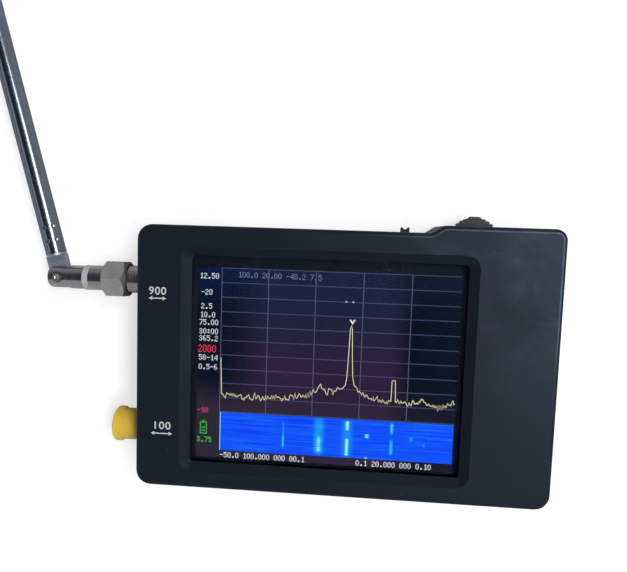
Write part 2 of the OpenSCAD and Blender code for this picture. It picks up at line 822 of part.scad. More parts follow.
// Fan with a toothed rim, a flat finger rest in the middle and a tail behind the pivot
module jog_lever() {
    rest_w = 2.3;
    color([0.06, 0.06, 0.07]) translate([jog_x, jog_y, jog_mid - jog_t / 2]) linear_extrude(jog_t)
        difference() {
            union() {
                difference() {
                    circle(r = jog_r, $fn = 96);
                    translate([-2 * jog_r, -2 * jog_r]) square([4 * jog_r, 2 * jog_r + 1.3]);
                    for (a = [10 : 10.5 : 73]) for (s = [0, 1]) mirror([s, 0]) rotate(a)
                        translate([jog_r - 0.4, -0.2]) square([1, 0.4]);
                }
                translate([-rest_w / 2, 0]) square([rest_w, jog_r + 0.15]);
                circle(r = jog_pin_d / 2 + 0.7, $fn = 48);
                translate([-0.8, -jog_tail]) square([1.6, jog_tail]);
            }
            circle(r = jog_pin_d / 2 + run_gap, $fn = 48);
        }
}

module coupling_nut() {
    corner = nut_af / sqrt(3);
    chamfer = 0.9;
    end_r = nut_hole_r + 0.35;
    far_r = corner + 0.4;
    run = chamfer * (far_r - end_r) / (corner - end_r);
    color(steel) at_jack(upper_y) difference() {
        intersection() {
            rotate(nut_turn) translate([0, 0, nut_start]) cylinder(r = corner, h = nut_len, $fn = 6);
            rotate_extrude($fn = 60) polygon([[0, nut_start], [end_r, nut_start],
                [far_r, nut_start + run], [far_r, nut_end - run], [end_r, nut_end], [0, nut_end]]);
        }
        rod(nut_hole_r, nut_start - 1, nut_floor);
        rod(stem_r + run_gap, nut_floor - 1, nut_end + 1);
    }
}

module nut_ring() {
    color(steel) at_jack(upper_y) difference() {
        rod(nut_hole_r - run_gap, groove_start + fit_gap, groove_start + fit_gap + ring_t);
        rod(groove_r + fit_gap, groove_start - 1, nut_end);
        translate([0, -0.4, groove_start - 1]) cube([nut_af, 0.8, 4]);
    }
}

module antenna_ferrule() {
    nose_r = socket_r - run_gap;
    outer = ferrule_d / 2;
    collar_r = nut_hole_r - 0.2;
    color(steel) at_jack(upper_y) rotate_extrude($fn = 64) polygon([
        [core_r, -socket_depth + run_gap], [nose_r, -socket_depth + run_gap], [nose_r, run_gap],
        [collar_r, run_gap], [collar_r, groove_start], [groove_r, groove_start], [groove_r, nut_floor],
        [stem_r, nut_floor], [stem_r, ferrule_start], [outer - 0.2, ferrule_start],
        [outer, ferrule_start + 0.2], [outer, ferrule_end - 0.1], [outer - 0.1, ferrule_end],
        [core_r, ferrule_end]]);
}

module antenna_insulator() {
    outer = ferrule_d / 2;
    color(white) at_jack(upper_y) rotate_extrude($fn = 64) polygon([
        [contact_r + run_gap, -socket_depth + run_gap], [core_r - fit_gap, -socket_depth + run_gap],
        [core_r - fit_gap, ferrule_end], [outer - 0.15, ferrule_end], [outer, ferrule_end + 0.15],
        [outer, insulator_end - 0.15], [outer - 0.15, insulator_end], [contact_r + run_gap, insulator_end]]);
}

module antenna_pin() {
    color(gold) at_jack(upper_y) {
        rod(contact_r, -socket_depth + run_gap, elbow_start + 1.1);
        rod(pin_tip_r, pin_tip, 0);
    }
}

module elbow_fork() {
    r = elbow_d / 2;
    color(steel) at_jack(upper_y) difference() {
        intersection() {
            rod(r, elbow_start, pivot_w + elbow_end);
            hull() {
                translate([-r - 1, -r, elbow_start - 1]) cube([2 * r + 2, 2 * r, 2]);
                for (s = [-1, 1]) translate([0, s * (r - elbow_corner_r), pivot_w + elbow_end - elbow_corner_r])
                    cross_rod(elbow_corner_r, -r - 1, r + 1);
            }
        }
        translate([-slot_t / 2, -r - 1, pivot_w - tang_w / 2 - 0.3])
            cube([slot_t, 2 * r + 2, elbow_end + tang_w]);
        translate([0, 0, pivot_w]) {
            cross_rod(rivet_d / 2 + fit_gap, -r - 1, r + 1);
            cross_rod(rivet_head_r + fit_gap, rivet_seat, r + 1);
            cross_rod(rivet_head_r + fit_gap, -r - 1, -rivet_seat);
        }
        rod(contact_r + fit_gap, elbow_start - 1, elbow_start + 1.15);
    }
}

// Rivet whose two heads are dished by the punch
module elbow_rivet() {
    head = elbow_d / 2 + 0.05;
    dish_r = 0.9;
    color(steel) translate(pivot) difference() {
        union() {
            rod(rivet_d / 2, -head + 0.1, head - 0.1);
            rod(rivet_head_r, rivet_seat + fit_gap, head);
            rod(rivet_head_r, -head, -rivet_seat - fit_gap);
        }
        for (s = [-1, 1]) translate([0, 0, s * (head + dish_r - 0.2)]) sphere(r = dish_r, $fn = 32);
    }
}

module elbow_washers() {
    near = tang_t / 2 + fit_gap;
    color(gold) translate(pivot) for (z = [near, -near - washer_t]) difference() {
        rod(rivet_d / 2 + 1.1, z, z + washer_t);
        rod(rivet_d / 2 + fit_gap, z - 1, z + 1);
    }
}

module whip_root() {
    color(steel) at_whip() difference() {
        union() {
            cross_rod(tang_w / 2, -tang_t / 2, tang_t / 2);
            translate([-tang_t / 2, -tang_w / 2, 0]) cube([tang_t, tang_w, tang_len + 0.2]);
            rod(whip_r(1) - 0.1, tang_len, tube_start);
            rod(bore_r(1) - fit_gap, tang_len, plug_end);
        }
        cross_rod(rivet_d / 2 + run_gap, -tang_t, tang_t);
    }
}

// A whip tube with its mouth drawn in to guide the next section
module whip_tube(i) {
    mouth_r = whip_r(i + 1) + run_gap;
    at_whip() rotate_extrude($fn = 64) polygon([
        [bore_r(i), tube_foot(i)], [whip_r(i), tube_foot(i)], [whip_r(i), tube_top(i) - 0.2],
        [whip_r(i) - 0.1, tube_top(i)], [mouth_r, tube_top(i)], [mouth_r, tube_top(i) - neck_len],
        [bore_r(i), tube_top(i) - neck_len - 0.2]]);
}

// Two rings of dimples crimp the base tube onto the root
module whip_base_tube() {
    dimple_r = 1;
    dimple_depth = tube_wall * 0.7;
    color(steel) difference() {
        whip_tube(1);
        at_whip() for (z = [tube_start + crimp_low, tube_start + crimp_high]) for (a = [0 : 45 : 315])
            rotate(a) translate([whip_r(1) + dimple_r - dimple_depth, 0, z]) sphere(r = dimple_r, $fn = 24);
    }
}

module whip_section_2() {
    color(steel) whip_tube(2);
}

module whip_section_3() {
    color(steel) whip_tube(3);
}

module whip_section_4() {
    color(steel) whip_tube(4);
}

module whip_section_5() {
    color(steel) at_whip() rod(whip_r(5), tube_foot(5), tip_start + tip_grip);
}

// Split sleeve that grips the bore of the section outside it
module whip_clip(i) {
    foot = tube_foot(i) + 0.3;
    color(gold) at_whip() difference() {
        rod(bore_r(i - 1) - run_gap, foot, foot + clip_len);
        rod(whip_r(i) + fit_gap, foot - 1, foot + clip_len + 1);
        translate([0, -0.3, foot - 1]) cube([whip_d, 0.6, clip_len + 2]);
    }
}

module whip_clip_2() {
    whip_clip(2);
}

module whip_clip_3() {
    whip_clip(3);
}

module whip_clip_4() {
    whip_clip(4);
}

module whip_clip_5() {
    whip_clip(5);
}

module whip_tip() {
    r = whip_d / 2;
    hole = whip_r(5) + fit_gap;
    end = tip_start + tip_len;
    color(steel) at_whip() rotate_extrude($fn = 64) polygon([
        [0, tip_start + tip_grip + run_gap], [hole, tip_start + tip_grip + run_gap], [hole, tip_start],
        [r - 0.2, tip_start],
        [r, tip_start + 0.2], [r, end - 1], [r - 0.35, end - 0.35], [r - 1, end], [0, end]]);
}

front_shell();
rear_shell();
case_screws();
window_gasket();
touch_panel();
touch_tape();
lcd_panel();
lcd_foam_pads();
lcd_flex();
main_board();
board_chips();
oscillator_can();
shield_can();
battery();
battery_tape();
battery_leads();
battery_plug();
battery_header();
upper_jack_body();
upper_jack_dielectric();
upper_jack_contact();
lower_jack_body();
lower_jack_dielectric();
lower_jack_contact();
dust_cap();
usb_shell();
usb_tongue();
power_switch_housing();
power_knob();
jog_housing();
jog_push_contact();
jog_carriage();
jog_pin();
jog_lever();
coupling_nut();
nut_ring();
antenna_ferrule();
antenna_insulator();
antenna_pin();
elbow_fork();
elbow_rivet();
elbow_washers();
whip_root();
whip_base_tube();
whip_section_2();
whip_section_3();
whip_section_4();
whip_section_5();
whip_clip_2();
whip_clip_3();
whip_clip_4();
whip_clip_5();
whip_tip();
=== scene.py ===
"""Looks of the handheld spectrum analyzer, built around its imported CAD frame. Sizes are in metres."""

import json
import math
import random
import re

import bmesh
import bpy
from mathutils import Matrix, Vector

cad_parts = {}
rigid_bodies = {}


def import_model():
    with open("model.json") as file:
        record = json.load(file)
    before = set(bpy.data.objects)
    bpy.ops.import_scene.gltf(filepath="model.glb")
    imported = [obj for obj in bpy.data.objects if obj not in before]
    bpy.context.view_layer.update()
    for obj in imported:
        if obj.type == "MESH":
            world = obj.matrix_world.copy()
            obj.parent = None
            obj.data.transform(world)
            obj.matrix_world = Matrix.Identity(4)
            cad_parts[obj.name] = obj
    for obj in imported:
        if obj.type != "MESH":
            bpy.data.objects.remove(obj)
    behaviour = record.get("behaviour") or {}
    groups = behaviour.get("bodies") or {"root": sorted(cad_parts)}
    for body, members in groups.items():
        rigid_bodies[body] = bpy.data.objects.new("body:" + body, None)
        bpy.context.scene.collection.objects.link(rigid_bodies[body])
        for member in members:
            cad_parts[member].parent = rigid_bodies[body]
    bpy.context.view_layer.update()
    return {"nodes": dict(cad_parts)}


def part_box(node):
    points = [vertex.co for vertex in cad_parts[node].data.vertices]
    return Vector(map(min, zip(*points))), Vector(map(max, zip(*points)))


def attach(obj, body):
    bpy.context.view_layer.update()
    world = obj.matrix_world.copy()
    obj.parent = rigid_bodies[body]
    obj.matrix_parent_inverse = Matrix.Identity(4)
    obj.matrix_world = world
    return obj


for leftover in list(bpy.data.objects):
    bpy.data.objects.remove(leftover)

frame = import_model()
nodes = frame["nodes"]

MM = 0.001
MICRON = 0.001 * MM
WHITE = (1.0, 1.0, 1.0)
BLACK = (0.0, 0.0, 0.0)

# Camera, read from the photograph's edges of the case and of the lit screen
CAMERA_PLACE = Vector((2.74, 28.34, 140.84)) * MM
CAMERA_AIM = Vector((-0.0756, -0.0890, -0.9932))
CAMERA_UP = Vector((-0.0398, 0.9955, -0.0862))
CAMERA_LENS = 33.47
CAMERA_SENSOR = 36.0
CAMERA_CLIP = (0.005, 20.0)

# Lit part of the display: 320 by 240 dots
DOT = 0.18 * MM
LIT_LEFT = -32.53 * MM
LIT_TOP = 20.3 * MM
DOTS_ACROSS = 320
DOTS_DOWN = 240
PLOT_LEFT = 30
PLOT_RIGHT = 320
PLOT_FOOT = 180
GRID_ROW_STEP = 18
GRID_COLUMN_STEP = 58
GRID_GAP = 0.05
WATERFALL_TOP = 181.5
WATERFALL_FOOT = 230.5
LCD_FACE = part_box("lcd_panel")[1].z

# Whip's direction in the frame
WHIP_AXIS = (math.cos(math.radians(105)), math.sin(math.radians(105)), 0.0)


def display(red, green, blue):
    """Linear colour of a colour given as display values from 0 to 255."""
    def linear(value):
        value /= 255
        if value <= 0.04045:
            return value / 12.92
        return ((value + 0.055) / 1.055) ** 2.4
    return linear(red), linear(green), linear(blue)


def solid(colour):
    """A colour's red, green and blue with full cover. An output of a node stays as it is."""
    return (*colour, 1.0) if isinstance(colour, tuple) else colour


class Finish:
    """A shader tree with short ways to add and join its nodes."""

    def __init__(self, tree):
        self.tree = tree

    def add(self, kind, inputs=None, **settings):
        """A new node with its settings made and its inputs fed."""
        node = self.tree.nodes.new(kind)
        for key, value in settings.items():
            setattr(node, key, value)
        for key, value in (inputs or {}).items():
            self.feed(node.inputs[key], value)
        return node

    def feed(self, socket, value):
        """Joins another node's output to a socket, or sets the socket to a constant."""
        if isinstance(value, bpy.types.NodeSocket):
            self.tree.links.new(value, socket)
        else:
            socket.default_value = value

    def colour_mix(self, share, first, second, how="MIX"):
        """Blend of two colours."""
        ends = {0: share, 6: solid(first), 7: solid(second)}
        return self.add("ShaderNodeMix", ends, data_type="RGBA", blend_type=how).outputs[2]

    def remap(self, value, low, high, out_low=0.0, out_high=1.0, curve="LINEAR"):
        """A value moved from one range to another and held at its ends."""
        ends = {"Value": value, "From Min": low, "From Max": high, "To Min": out_low, "To Max": out_high}
        return self.add("ShaderNodeMapRange", ends, interpolation_type=curve).outputs["Result"]

    def ease(self, value, low, high, out_low=0.0, out_high=1.0):
        """A value moved between ranges with a soft start and end."""
        return self.remap(value, low, high, out_low, out_high, "SMOOTHSTEP")

    def band(self, value, rise, fall):
        """One between a rising and a falling ramp, and zero outside them."""
        return self.times(self.remap(value, *rise), self.remap(value, *fall, 1.0, 0.0))

    def calc(self, how, first, second=0.0):
        """One step of arithmetic."""
        return self.add("ShaderNodeMath", {0: first, 1: second}, operation=how).outputs[0]

    def times(self, first, second):
        """Product of two values."""
        return self.calc("MULTIPLY", first, second)

    def plus(self, first, second):
        """Sum of two values."""
        return self.calc("ADD", first, second)

    def minus(self, first, second):
        """First value less the second."""
        return self.calc("SUBTRACT", first, second)

    def place(self):
        """Place on the piece, in metres."""
        return self.add("ShaderNodeTexCoord").outputs["Object"]

    def face_normal(self):
        """Direction of the mesh's own face, without shading or bump."""
        return self.add("ShaderNodeNewGeometry").outputs["True Normal"]

    def split(self, vector):
        """The three parts of a vector."""
        return self.add("ShaderNodeSeparateXYZ", {"Vector": vector}).outputs

    def noise(self, vector, scale, detail=2.0, rough=0.5, distort=0.0):
        """Cloudy noise from 0 to 1."""
        node = self.add("ShaderNodeTexNoise", {"Vector": vector, "Scale": scale, "Detail": detail,
                                               "Roughness": rough, "Distortion": distort})
        return node.outputs[0]

    def stretched(self, vector, scale, turn=0.0):
        """A place scaled along each axis and turned about Z."""
        node = self.add("ShaderNodeMapping", {"Vector": vector, "Scale": scale, "Rotation": (0.0, 0.0, turn)})
        return node.outputs[0]

    def bump(self, height, distance, strength=1.0):
        """Shading direction over a height."""
        node = self.add("ShaderNodeBump", {"Height": height, "Distance": distance, "Strength": strength})
        return node.outputs[0]

    def effect(self, group, **inputs):
        """Outputs of one of the shared effects."""
        return self.add("ShaderNodeGroup", inputs, node_tree=group).outputs


def new_effect(name, inputs, outputs):
    """An empty node group with its named sockets, and the two ends inside it."""
    tree = bpy.data.node_groups.new(name, "ShaderNodeTree")
    for label, kind, value in inputs:
        socket = tree.interface.new_socket(label, in_out="INPUT", socket_type=kind)
        socket.default_value = value
    for label in outputs:
        tree.interface.new_socket(label, in_out="OUTPUT", socket_type="NodeSocketFloat")
    finish = Finish(tree)
    inside = finish.add("NodeGroupInput").outputs
    out = finish.add("NodeGroupOutput").inputs
    return tree, finish, inside, out


def make_moulded_grain():
    """Spark-eroded grain of a moulded face, and a slow mottle of its colour."""
    tree, finish, inside, out = new_effect(
        "Moulded grain", [("Cells", "NodeSocketFloat", 3200.0)], ["Height", "Mottle"])
    place = finish.place()
    cells = finish.add("ShaderNodeTexVoronoi", {"Vector": place, "Scale": inside["Cells"]},
                       feature="SMOOTH_F1").outputs["Distance"]
    fine = finish.noise(place, finish.times(inside["Cells"], 0.6), 3.0)
    finish.feed(out["Height"], finish.plus(finish.times(cells, 0.6), finish.times(fine, 0.4)))
    mottle = finish.noise(place, finish.times(inside["Cells"], 0.03), 4.0, 0.6)
    finish.feed(out["Mottle"], finish.remap(mottle, 0.3, 0.7))
    return tree


def make_handling():
    """Finger smudges and hairline scratches of a thing that is carried about."""
    tree, finish, inside, out = new_effect(
        "Handling marks", [("Spread", "NodeSocketFloat", 55.0)], ["Smudge", "Scratch"])
    place = finish.place()
    smudge = finish.noise(place, inside["Spread"], 5.0, 0.62, 0.8)
    finish.feed(out["Smudge"], finish.remap(smudge, 0.42, 0.68))
    lines = []
    for turn, across in ((0.5, 5200.0), (-1.1, 4300.0)):
        along = finish.stretched(place, (130.0, across, 130.0), turn)
        lines.append(finish.remap(finish.noise(along, 1.0, 1.0), 0.69, 0.74))
    finish.feed(out["Scratch"], finish.calc("MAXIMUM", lines[0], lines[1]))
    return tree


def make_edge_rub():
    """Mask of outer edges that hands have rubbed bright."""
    tree, finish, inside, out = new_effect(
        "Edge rub", [("Width", "NodeSocketFloat", 0.4 * MM)], ["Rub"])
    soft = finish.add("ShaderNodeBevel", {"Radius": inside["Width"]}, samples=4).outputs[0]
    hard = finish.add("ShaderNodeNewGeometry").outputs["Normal"]
    turned = finish.add("ShaderNodeVectorMath", {0: soft, 1: hard}, operation="DOT_PRODUCT").outputs["Value"]
    mask = finish.remap(finish.minus(1.0, turned), 0.004, 0.09)
    broken = finish.remap(finish.noise(finish.place(), 900.0, 4.0, 0.65), 0.35, 0.65)
    finish.feed(out["Rub"], finish.times(mask, broken))
    return tree


def make_dust():
    """Sparse pale specks that settle on dark faces."""
    tree, finish, inside, out = new_effect(
        "Dust specks", [("Count", "NodeSocketFloat", 420.0)], ["Dust"])
    cells = finish.add("ShaderNodeTexVoronoi", {"Vector": finish.place(), "Scale": inside["Count"]})
    near = finish.remap(cells.outputs["Distance"], 0.03, 0.075, 1.0, 0.0)
    pick = finish.add("ShaderNodeSeparateColor", {"Color": cells.outputs["Color"]}).outputs[0]
    finish.feed(out["Dust"], finish.times(near, finish.remap(pick, 0.8, 0.95)))
    return tree


# Count of dull and bright streaks along a metre of turned metal
STREAK_LINES = 900.0


def make_turned_lines():
    """Fine rings that a lathe or a draw die leaves across an axis, and slow stains."""
    tree, finish, inside, out = new_effect(
        "Turned lines", [("Lines", "NodeSocketFloat", 9000.0), ("Axis", "NodeSocketVector", (1.0, 0.0, 0.0))],
        ["Height", "Streak", "Stain"])
    place = finish.place()
    along = finish.add("ShaderNodeVectorMath", {0: place, 1: inside["Axis"]},
                       operation="DOT_PRODUCT").outputs["Value"]

    def rings(lines, detail):
        """Noise that changes along the axis only."""
        inputs = {"W": finish.times(along, lines), "Scale": 1.0, "Detail": detail}
        return finish.add("ShaderNodeTexNoise", inputs, noise_dimensions="1D").outputs[0]

    finish.feed(out["Height"], rings(inside["Lines"], 2.0))
    finish.feed(out["Streak"], finish.remap(rings(STREAK_LINES, 3.0), 0.35, 0.65))
    finish.feed(out["Stain"], finish.remap(finish.noise(place, 420.0, 4.0, 0.6, 0.6), 0.4, 0.7))
    return tree


def make_screen_dots():
    """Grid of lit dots of the display, and the slow unevenness of its backlight."""
    tree, finish, inside, out = new_effect(
        "Screen dots", [("Gap", "NodeSocketFloat", 0.14)], ["Dot", "Backlight"])
    place = finish.place()
    parts = finish.split(place)
    masks = []
    for axis in (0, 1):
        cell = finish.calc("FRACT", finish.calc("DIVIDE", parts[axis], DOT))
        middle = finish.calc("ABSOLUTE", finish.minus(cell, 0.5))
        masks.append(finish.remap(finish.minus(0.5, middle), 0.0, inside["Gap"], 0.55, 1.0))
    finish.feed(out["Dot"], finish.times(masks[0], masks[1]))
    finish.feed(out["Backlight"], finish.remap(finish.noise(place, 60.0, 2.0), 0.3, 0.7, 0.9, 1.0))
    return tree


MOULDED_GRAIN = make_moulded_grain()
HANDLING = make_handling()
EDGE_RUB = make_edge_rub()
DUST = make_dust()
TURNED_LINES = make_turned_lines()
SCREEN_DOTS = make_screen_dots()


def new_finish(name):
    """A material with one main shader, ready to be wired."""
    material = bpy.data.materials.new(name)
    material.use_nodes = True
    material.node_tree.nodes.clear()
    finish = Finish(material.node_tree)
    shader = finish.add("ShaderNodeBsdfPrincipled")
    output = finish.add("ShaderNodeOutputMaterial")
    finish.feed(output.inputs["Surface"], shader.outputs["BSDF"])
    return material, finish, shader.inputs


# How much the marks of use change a face
SCRATCH_GLOSS = 0.06
RUB_COLOUR = 0.5
RUB_GLOSS = 0.1
DUST_COLOUR = (0.25, 0.25, 0.24)
DUST_GLOSS = 0.3
PLATED_RUB_COLOUR = 0.6
PLATED_RUB_WIDTH = 0.18 * MM


def moulded(name, colour, other, rough, grain=(3200.0, 12 * MICRON), rub=None, dust=0.0, specular=0.5,
            tint=WHITE):
    """Moulded plastic: grain, mottled colour, smudged gloss, rubbed edges and dust."""
    material, finish, shader = new_finish(name)
    cells, depth = grain
    skin = finish.effect(MOULDED_GRAIN, Cells=cells)
    marks = finish.effect(HANDLING)
    tone = finish.colour_mix(skin["Mottle"], colour, other)
    gloss = finish.remap(marks["Smudge"], 0.0, 1.0, rough[0], rough[1])
    gloss = finish.minus(gloss, finish.times(marks["Scratch"], SCRATCH_GLOSS))
    if rub:
        worn = finish.effect(EDGE_RUB)["Rub"]
        tone = finish.colour_mix(finish.times(worn, RUB_COLOUR), tone, rub)
        gloss = finish.minus(gloss, finish.times(worn, RUB_GLOSS))
    if dust:
        specks = finish.times(finish.effect(DUST)["Dust"], dust)
        tone = finish.colour_mix(specks, tone, DUST_COLOUR)
        gloss = finish.plus(gloss, finish.times(specks, DUST_GLOSS))
    finish.feed(shader["Base Color"], tone)
    finish.feed(shader["Roughness"], gloss)
    finish.feed(shader["Normal"], finish.bump(skin["Height"], depth))
    shader["Specular IOR Level"].default_value = specular
    shader["Specular Tint"].default_value = solid(tint)
    return material


def plated(name, colour, other, rough, axis=(1.0, 0.0, 0.0), lines=9000.0, depth=2 * MICRON, rub=None,
           smudge=0.06, edge=WHITE):
    """Turned or drawn metal: rings across its axis, stains, rubbed edges and the tint of its rim."""
    material, finish, shader = new_finish(name)
    turned = finish.effect(TURNED_LINES, Lines=lines, Axis=axis)
    marks = finish.effect(HANDLING, Spread=160.0)
    tone = finish.colour_mix(turned["Stain"], colour, other)
    gloss = finish.remap(turned["Streak"], 0.0, 1.0, rough[0], rough[1])
    gloss = finish.plus(gloss, finish.times(marks["Smudge"], smudge))
    if rub:
        worn = finish.effect(EDGE_RUB, Width=PLATED_RUB_WIDTH)["Rub"]
        tone = finish.colour_mix(finish.times(worn, PLATED_RUB_COLOUR), tone, rub)
    finish.feed(shader["Base Color"], tone)
    finish.feed(shader["Roughness"], gloss)
    finish.feed(shader["Normal"], finish.bump(turned["Height"], depth))
    shader["Metallic"].default_value = 1.0
    shader["Specular Tint"].default_value = solid(edge)
    return material


def sheet_metal(name, colour, other, rough):
    """Pressed sheet metal with a rolled grain along X."""
    material, finish, shader = new_finish(name)
    rolled = finish.noise(finish.stretched(finish.place(), (60.0, 5000.0, 5000.0)), 1.0, 3.0)
    marks = finish.effect(HANDLING, Spread=120.0)
    finish.feed(shader["Base Color"], finish.colour_mix(marks["Smudge"], colour, other))
    finish.feed(shader["Roughness"], finish.remap(rolled, 0.3, 0.7, rough[0], rough[1]))
    finish.feed(shader["Normal"], finish.bump(rolled, 3 * MICRON))
    shader["Metallic"].default_value = 1.0
    return material


def reopen(material):
    """A wired material's tree, the inputs of its main shader and its colour so far, to wire on."""
    shader = [node for node in material.node_tree.nodes if node.type == "BSDF_PRINCIPLED"][0].inputs
    return Finish(material.node_tree), shader, shader["Base Color"].links[0].from_socket


# The case's upper right, where the lamp falls, takes painted sheen and a painted highlight line: across and
# up, from where they begin to where they are full
LIT_CORNER_ACROSS = (0.0, 30.0 * MM)
LIT_CORNER_UP = (-8.0 * MM, 16.0 * MM)

# Faces of the case by the upward part of their direction: the bend beside the face, which takes a painted
# highlight line, and the window's slope, which takes painted shade
BEND = ((0.97, 0.98), (0.993, 0.996))
SLOPE = ((0.835, 0.85), (0.866, 0.88))


def make_case_plastic():
    """Case moulding: painted sheen blotches and a painted highlight line by the controls, painted shade on
    the slope around the window.
    """
    material = moulded("Dark moulding", (0.008, 0.0126, 0.0205), (0.0096, 0.0144, 0.0226),
                       (0.41, 0.52), grain=(4200.0, 10 * MICRON), rub=(0.03, 0.038, 0.05), dust=0.18,
                       specular=0.22, tint=(0.6, 0.76, 1.0))
    finish, shader, tone = reopen(material)
    gloss = shader["Roughness"].links[0].from_socket
    place = finish.place()
    parts = finish.split(place)
    lit_corner_mask = finish.times(finish.ease(parts[0], *LIT_CORNER_ACROSS), finish.ease(parts[1], *LIT_CORNER_UP))
    # Painted sheen: pale blotches mixed into the colour at the lit upper right
    painted_sheen_blotches = finish.remap(finish.noise(place, 95.0, 4.0, 0.6, 0.5), 0.47, 0.68, 0.0, 0.85)
    tone = finish.colour_mix(finish.times(painted_sheen_blotches, lit_corner_mask), tone, (0.027, 0.036, 0.05))
    lean = finish.split(finish.face_normal())[2]
    # Painted shade: the window's slope is darkened, and its gloss is made duller
    slope = finish.band(lean, *SLOPE)
    tone = finish.colour_mix(finish.times(slope, 0.6), tone, (0.004, 0.007, 0.012))
    gloss = finish.plus(gloss, finish.times(slope, 0.16))
    # Painted highlight: a pale line along the bend beside the front face, only at the lit upper right and
    # broken by noise; its gloss is a little higher there too
    worn = finish.remap(finish.noise(place, 420.0, 4.0, 0.65), 0.3, 0.55, 0.45, 1.0)
    line = finish.times(finish.times(finish.band(lean, *BEND), worn), lit_corner_mask)
    finish.feed(shader["Base Color"], finish.colour_mix(line, tone, (0.085, 0.105, 0.13)))
    finish.feed(shader["Roughness"], finish.minus(gloss, finish.times(line, 0.08)))
    return material


def make_touch_glass():
    """Clear cover with faint finger smears."""
    material, finish, shader = new_finish("Touch glass")
    marks = finish.effect(HANDLING, Spread=70.0)
    finish.feed(shader["Roughness"], finish.remap(marks["Smudge"], 0.0, 1.0, 0.02, 0.07))
    finish.feed(shader["Normal"], finish.bump(marks["Scratch"], 2 * MICRON, 0.3))
    shader["Base Color"].default_value = (0.96, 0.97, 0.98, 1.0)
    shader["IOR"].default_value = 1.46
    shader["Transmission Weight"].default_value = 1.0
    return material


def make_elbow_nickel():
    """Nickel of the antenna's elbow, darker in a ring around the rivet's head."""
    material = plated("Elbow nickel", (0.52, 0.485, 0.48), (0.45, 0.415, 0.41), (0.13, 0.18),
                      depth=0.4 * MICRON)
    finish, shader, tone = reopen(material)
    parts = finish.split(finish.place())
    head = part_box("elbow_rivet")
    across = finish.minus(parts[0], (head[0].x + head[1].x) / 2)
    along = finish.minus(parts[1], (head[0].y + head[1].y) / 2)
    reach = finish.calc("SQRT", finish.plus(finish.times(across, across), finish.times(along, along)))
    rim = (head[1].x - head[0].x) / 2
    darkened = finish.ease(reach, rim + 0.05 * MM, rim + 0.3 * MM, 0.85, 0.0)
    finish.feed(shader["Base Color"], finish.colour_mix(darkened, tone, (0.05, 0.045, 0.045)))
    return material


def make_nut_nickel():
    """Nickel of the coupling nut, with painted shade on the end towards the case."""
    material = plated("Nut nickel", (0.56, 0.54, 0.525), (0.48, 0.46, 0.445), (0.54, 0.62),
                      rub=(0.75, 0.72, 0.7), lines=5000.0)
    finish, shader, tone = reopen(material)
    facing_case = finish.split(finish.face_normal())[0]
    # Painted shade on the end face that looks towards the case
    darkened = finish.remap(facing_case, 0.5, 0.9, 0.0, 0.85)
    finish.feed(shader["Base Color"], finish.colour_mix(darkened, tone, (0.07, 0.065, 0.065)))
    return material


# The dust cap along X: from its closed end towards the case, over which its painted shade deepens
CAP_SPAN = (-53.5 * MM, -46.5 * MM)


def make_cap_vinyl():
    """Soft yellow vinyl: dip-moulded sheen, and painted shade that darkens it towards the case."""
    material, finish, shader = new_finish("Cap vinyl")
    skin = finish.effect(MOULDED_GRAIN, Cells=1500.0)
    marks = finish.effect(HANDLING, Spread=260.0)
    # Painted shade: the yellow darkens towards the case
    shade_toward_case = finish.ease(finish.split(finish.place())[0], *CAP_SPAN)
    tone = finish.colour_mix(shade_toward_case, (0.93, 0.68, 0.06), (0.68, 0.41, 0.05))
    tone = finish.colour_mix(finish.times(skin["Mottle"], 0.25), tone, (0.7, 0.43, 0.05))
    finish.feed(shader["Base Color"], tone)
    finish.feed(shader["Roughness"], finish.remap(marks["Smudge"], 0.0, 1.0, 0.34, 0.5))
    finish.feed(shader["Normal"], finish.bump(skin["Height"], 10 * MICRON))
    shader["Subsurface Weight"].default_value = 0.15
    shader["Subsurface Radius"].default_value = (0.8 * MM, 0.4 * MM, 0.1 * MM)
    return material


def make_board_mask():
    """Green solder mask over copper runs."""
    material, finish, shader = new_finish("Board mask")
    place = finish.place()
    runs = finish.add("ShaderNodeTexVoronoi", {"Vector": place, "Scale": 420.0, "Randomness": 0.35},
                      distance="MANHATTAN").outputs["Distance"]
    copper = finish.remap(runs, 0.4, 0.46)
    tone = finish.colour_mix(copper, (0.006, 0.06, 0.026), (0.012, 0.11, 0.045))
    finish.feed(shader["Base Color"], tone)
    finish.feed(shader["Roughness"], finish.remap(finish.noise(place, 900.0), 0.3, 0.7, 0.3, 0.42))
    finish.feed(shader["Normal"], finish.bump(copper, 20 * MICRON))
    return material


def set_glow(shader, ground, rough, strength=1.0):
    """Strength of a display face's own light, and the nearly black, dull ground under it."""
    shader["Emission Strength"].default_value = strength
    shader["Base Color"].default_value = solid(ground)
    shader["Roughness"].default_value = rough
    shader["Specular IOR Level"].default_value = 0.0


def lit(name, colour, other=None, gap=0.14):
    """A lit part of the display, broken into its dots."""
    material, finish, shader = new_finish(name)
    dots = finish.effect(SCREEN_DOTS, Gap=gap)
    level = finish.times(dots["Dot"], dots["Backlight"])
    tone = colour
    if other:
        tone = finish.colour_mix(dots["Backlight"], other, colour)
    finish.feed(shader["Emission Color"], finish.colour_mix(level, BLACK, tone))
    set_glow(shader, (0.004, 0.004, 0.005), 0.5)
    return material


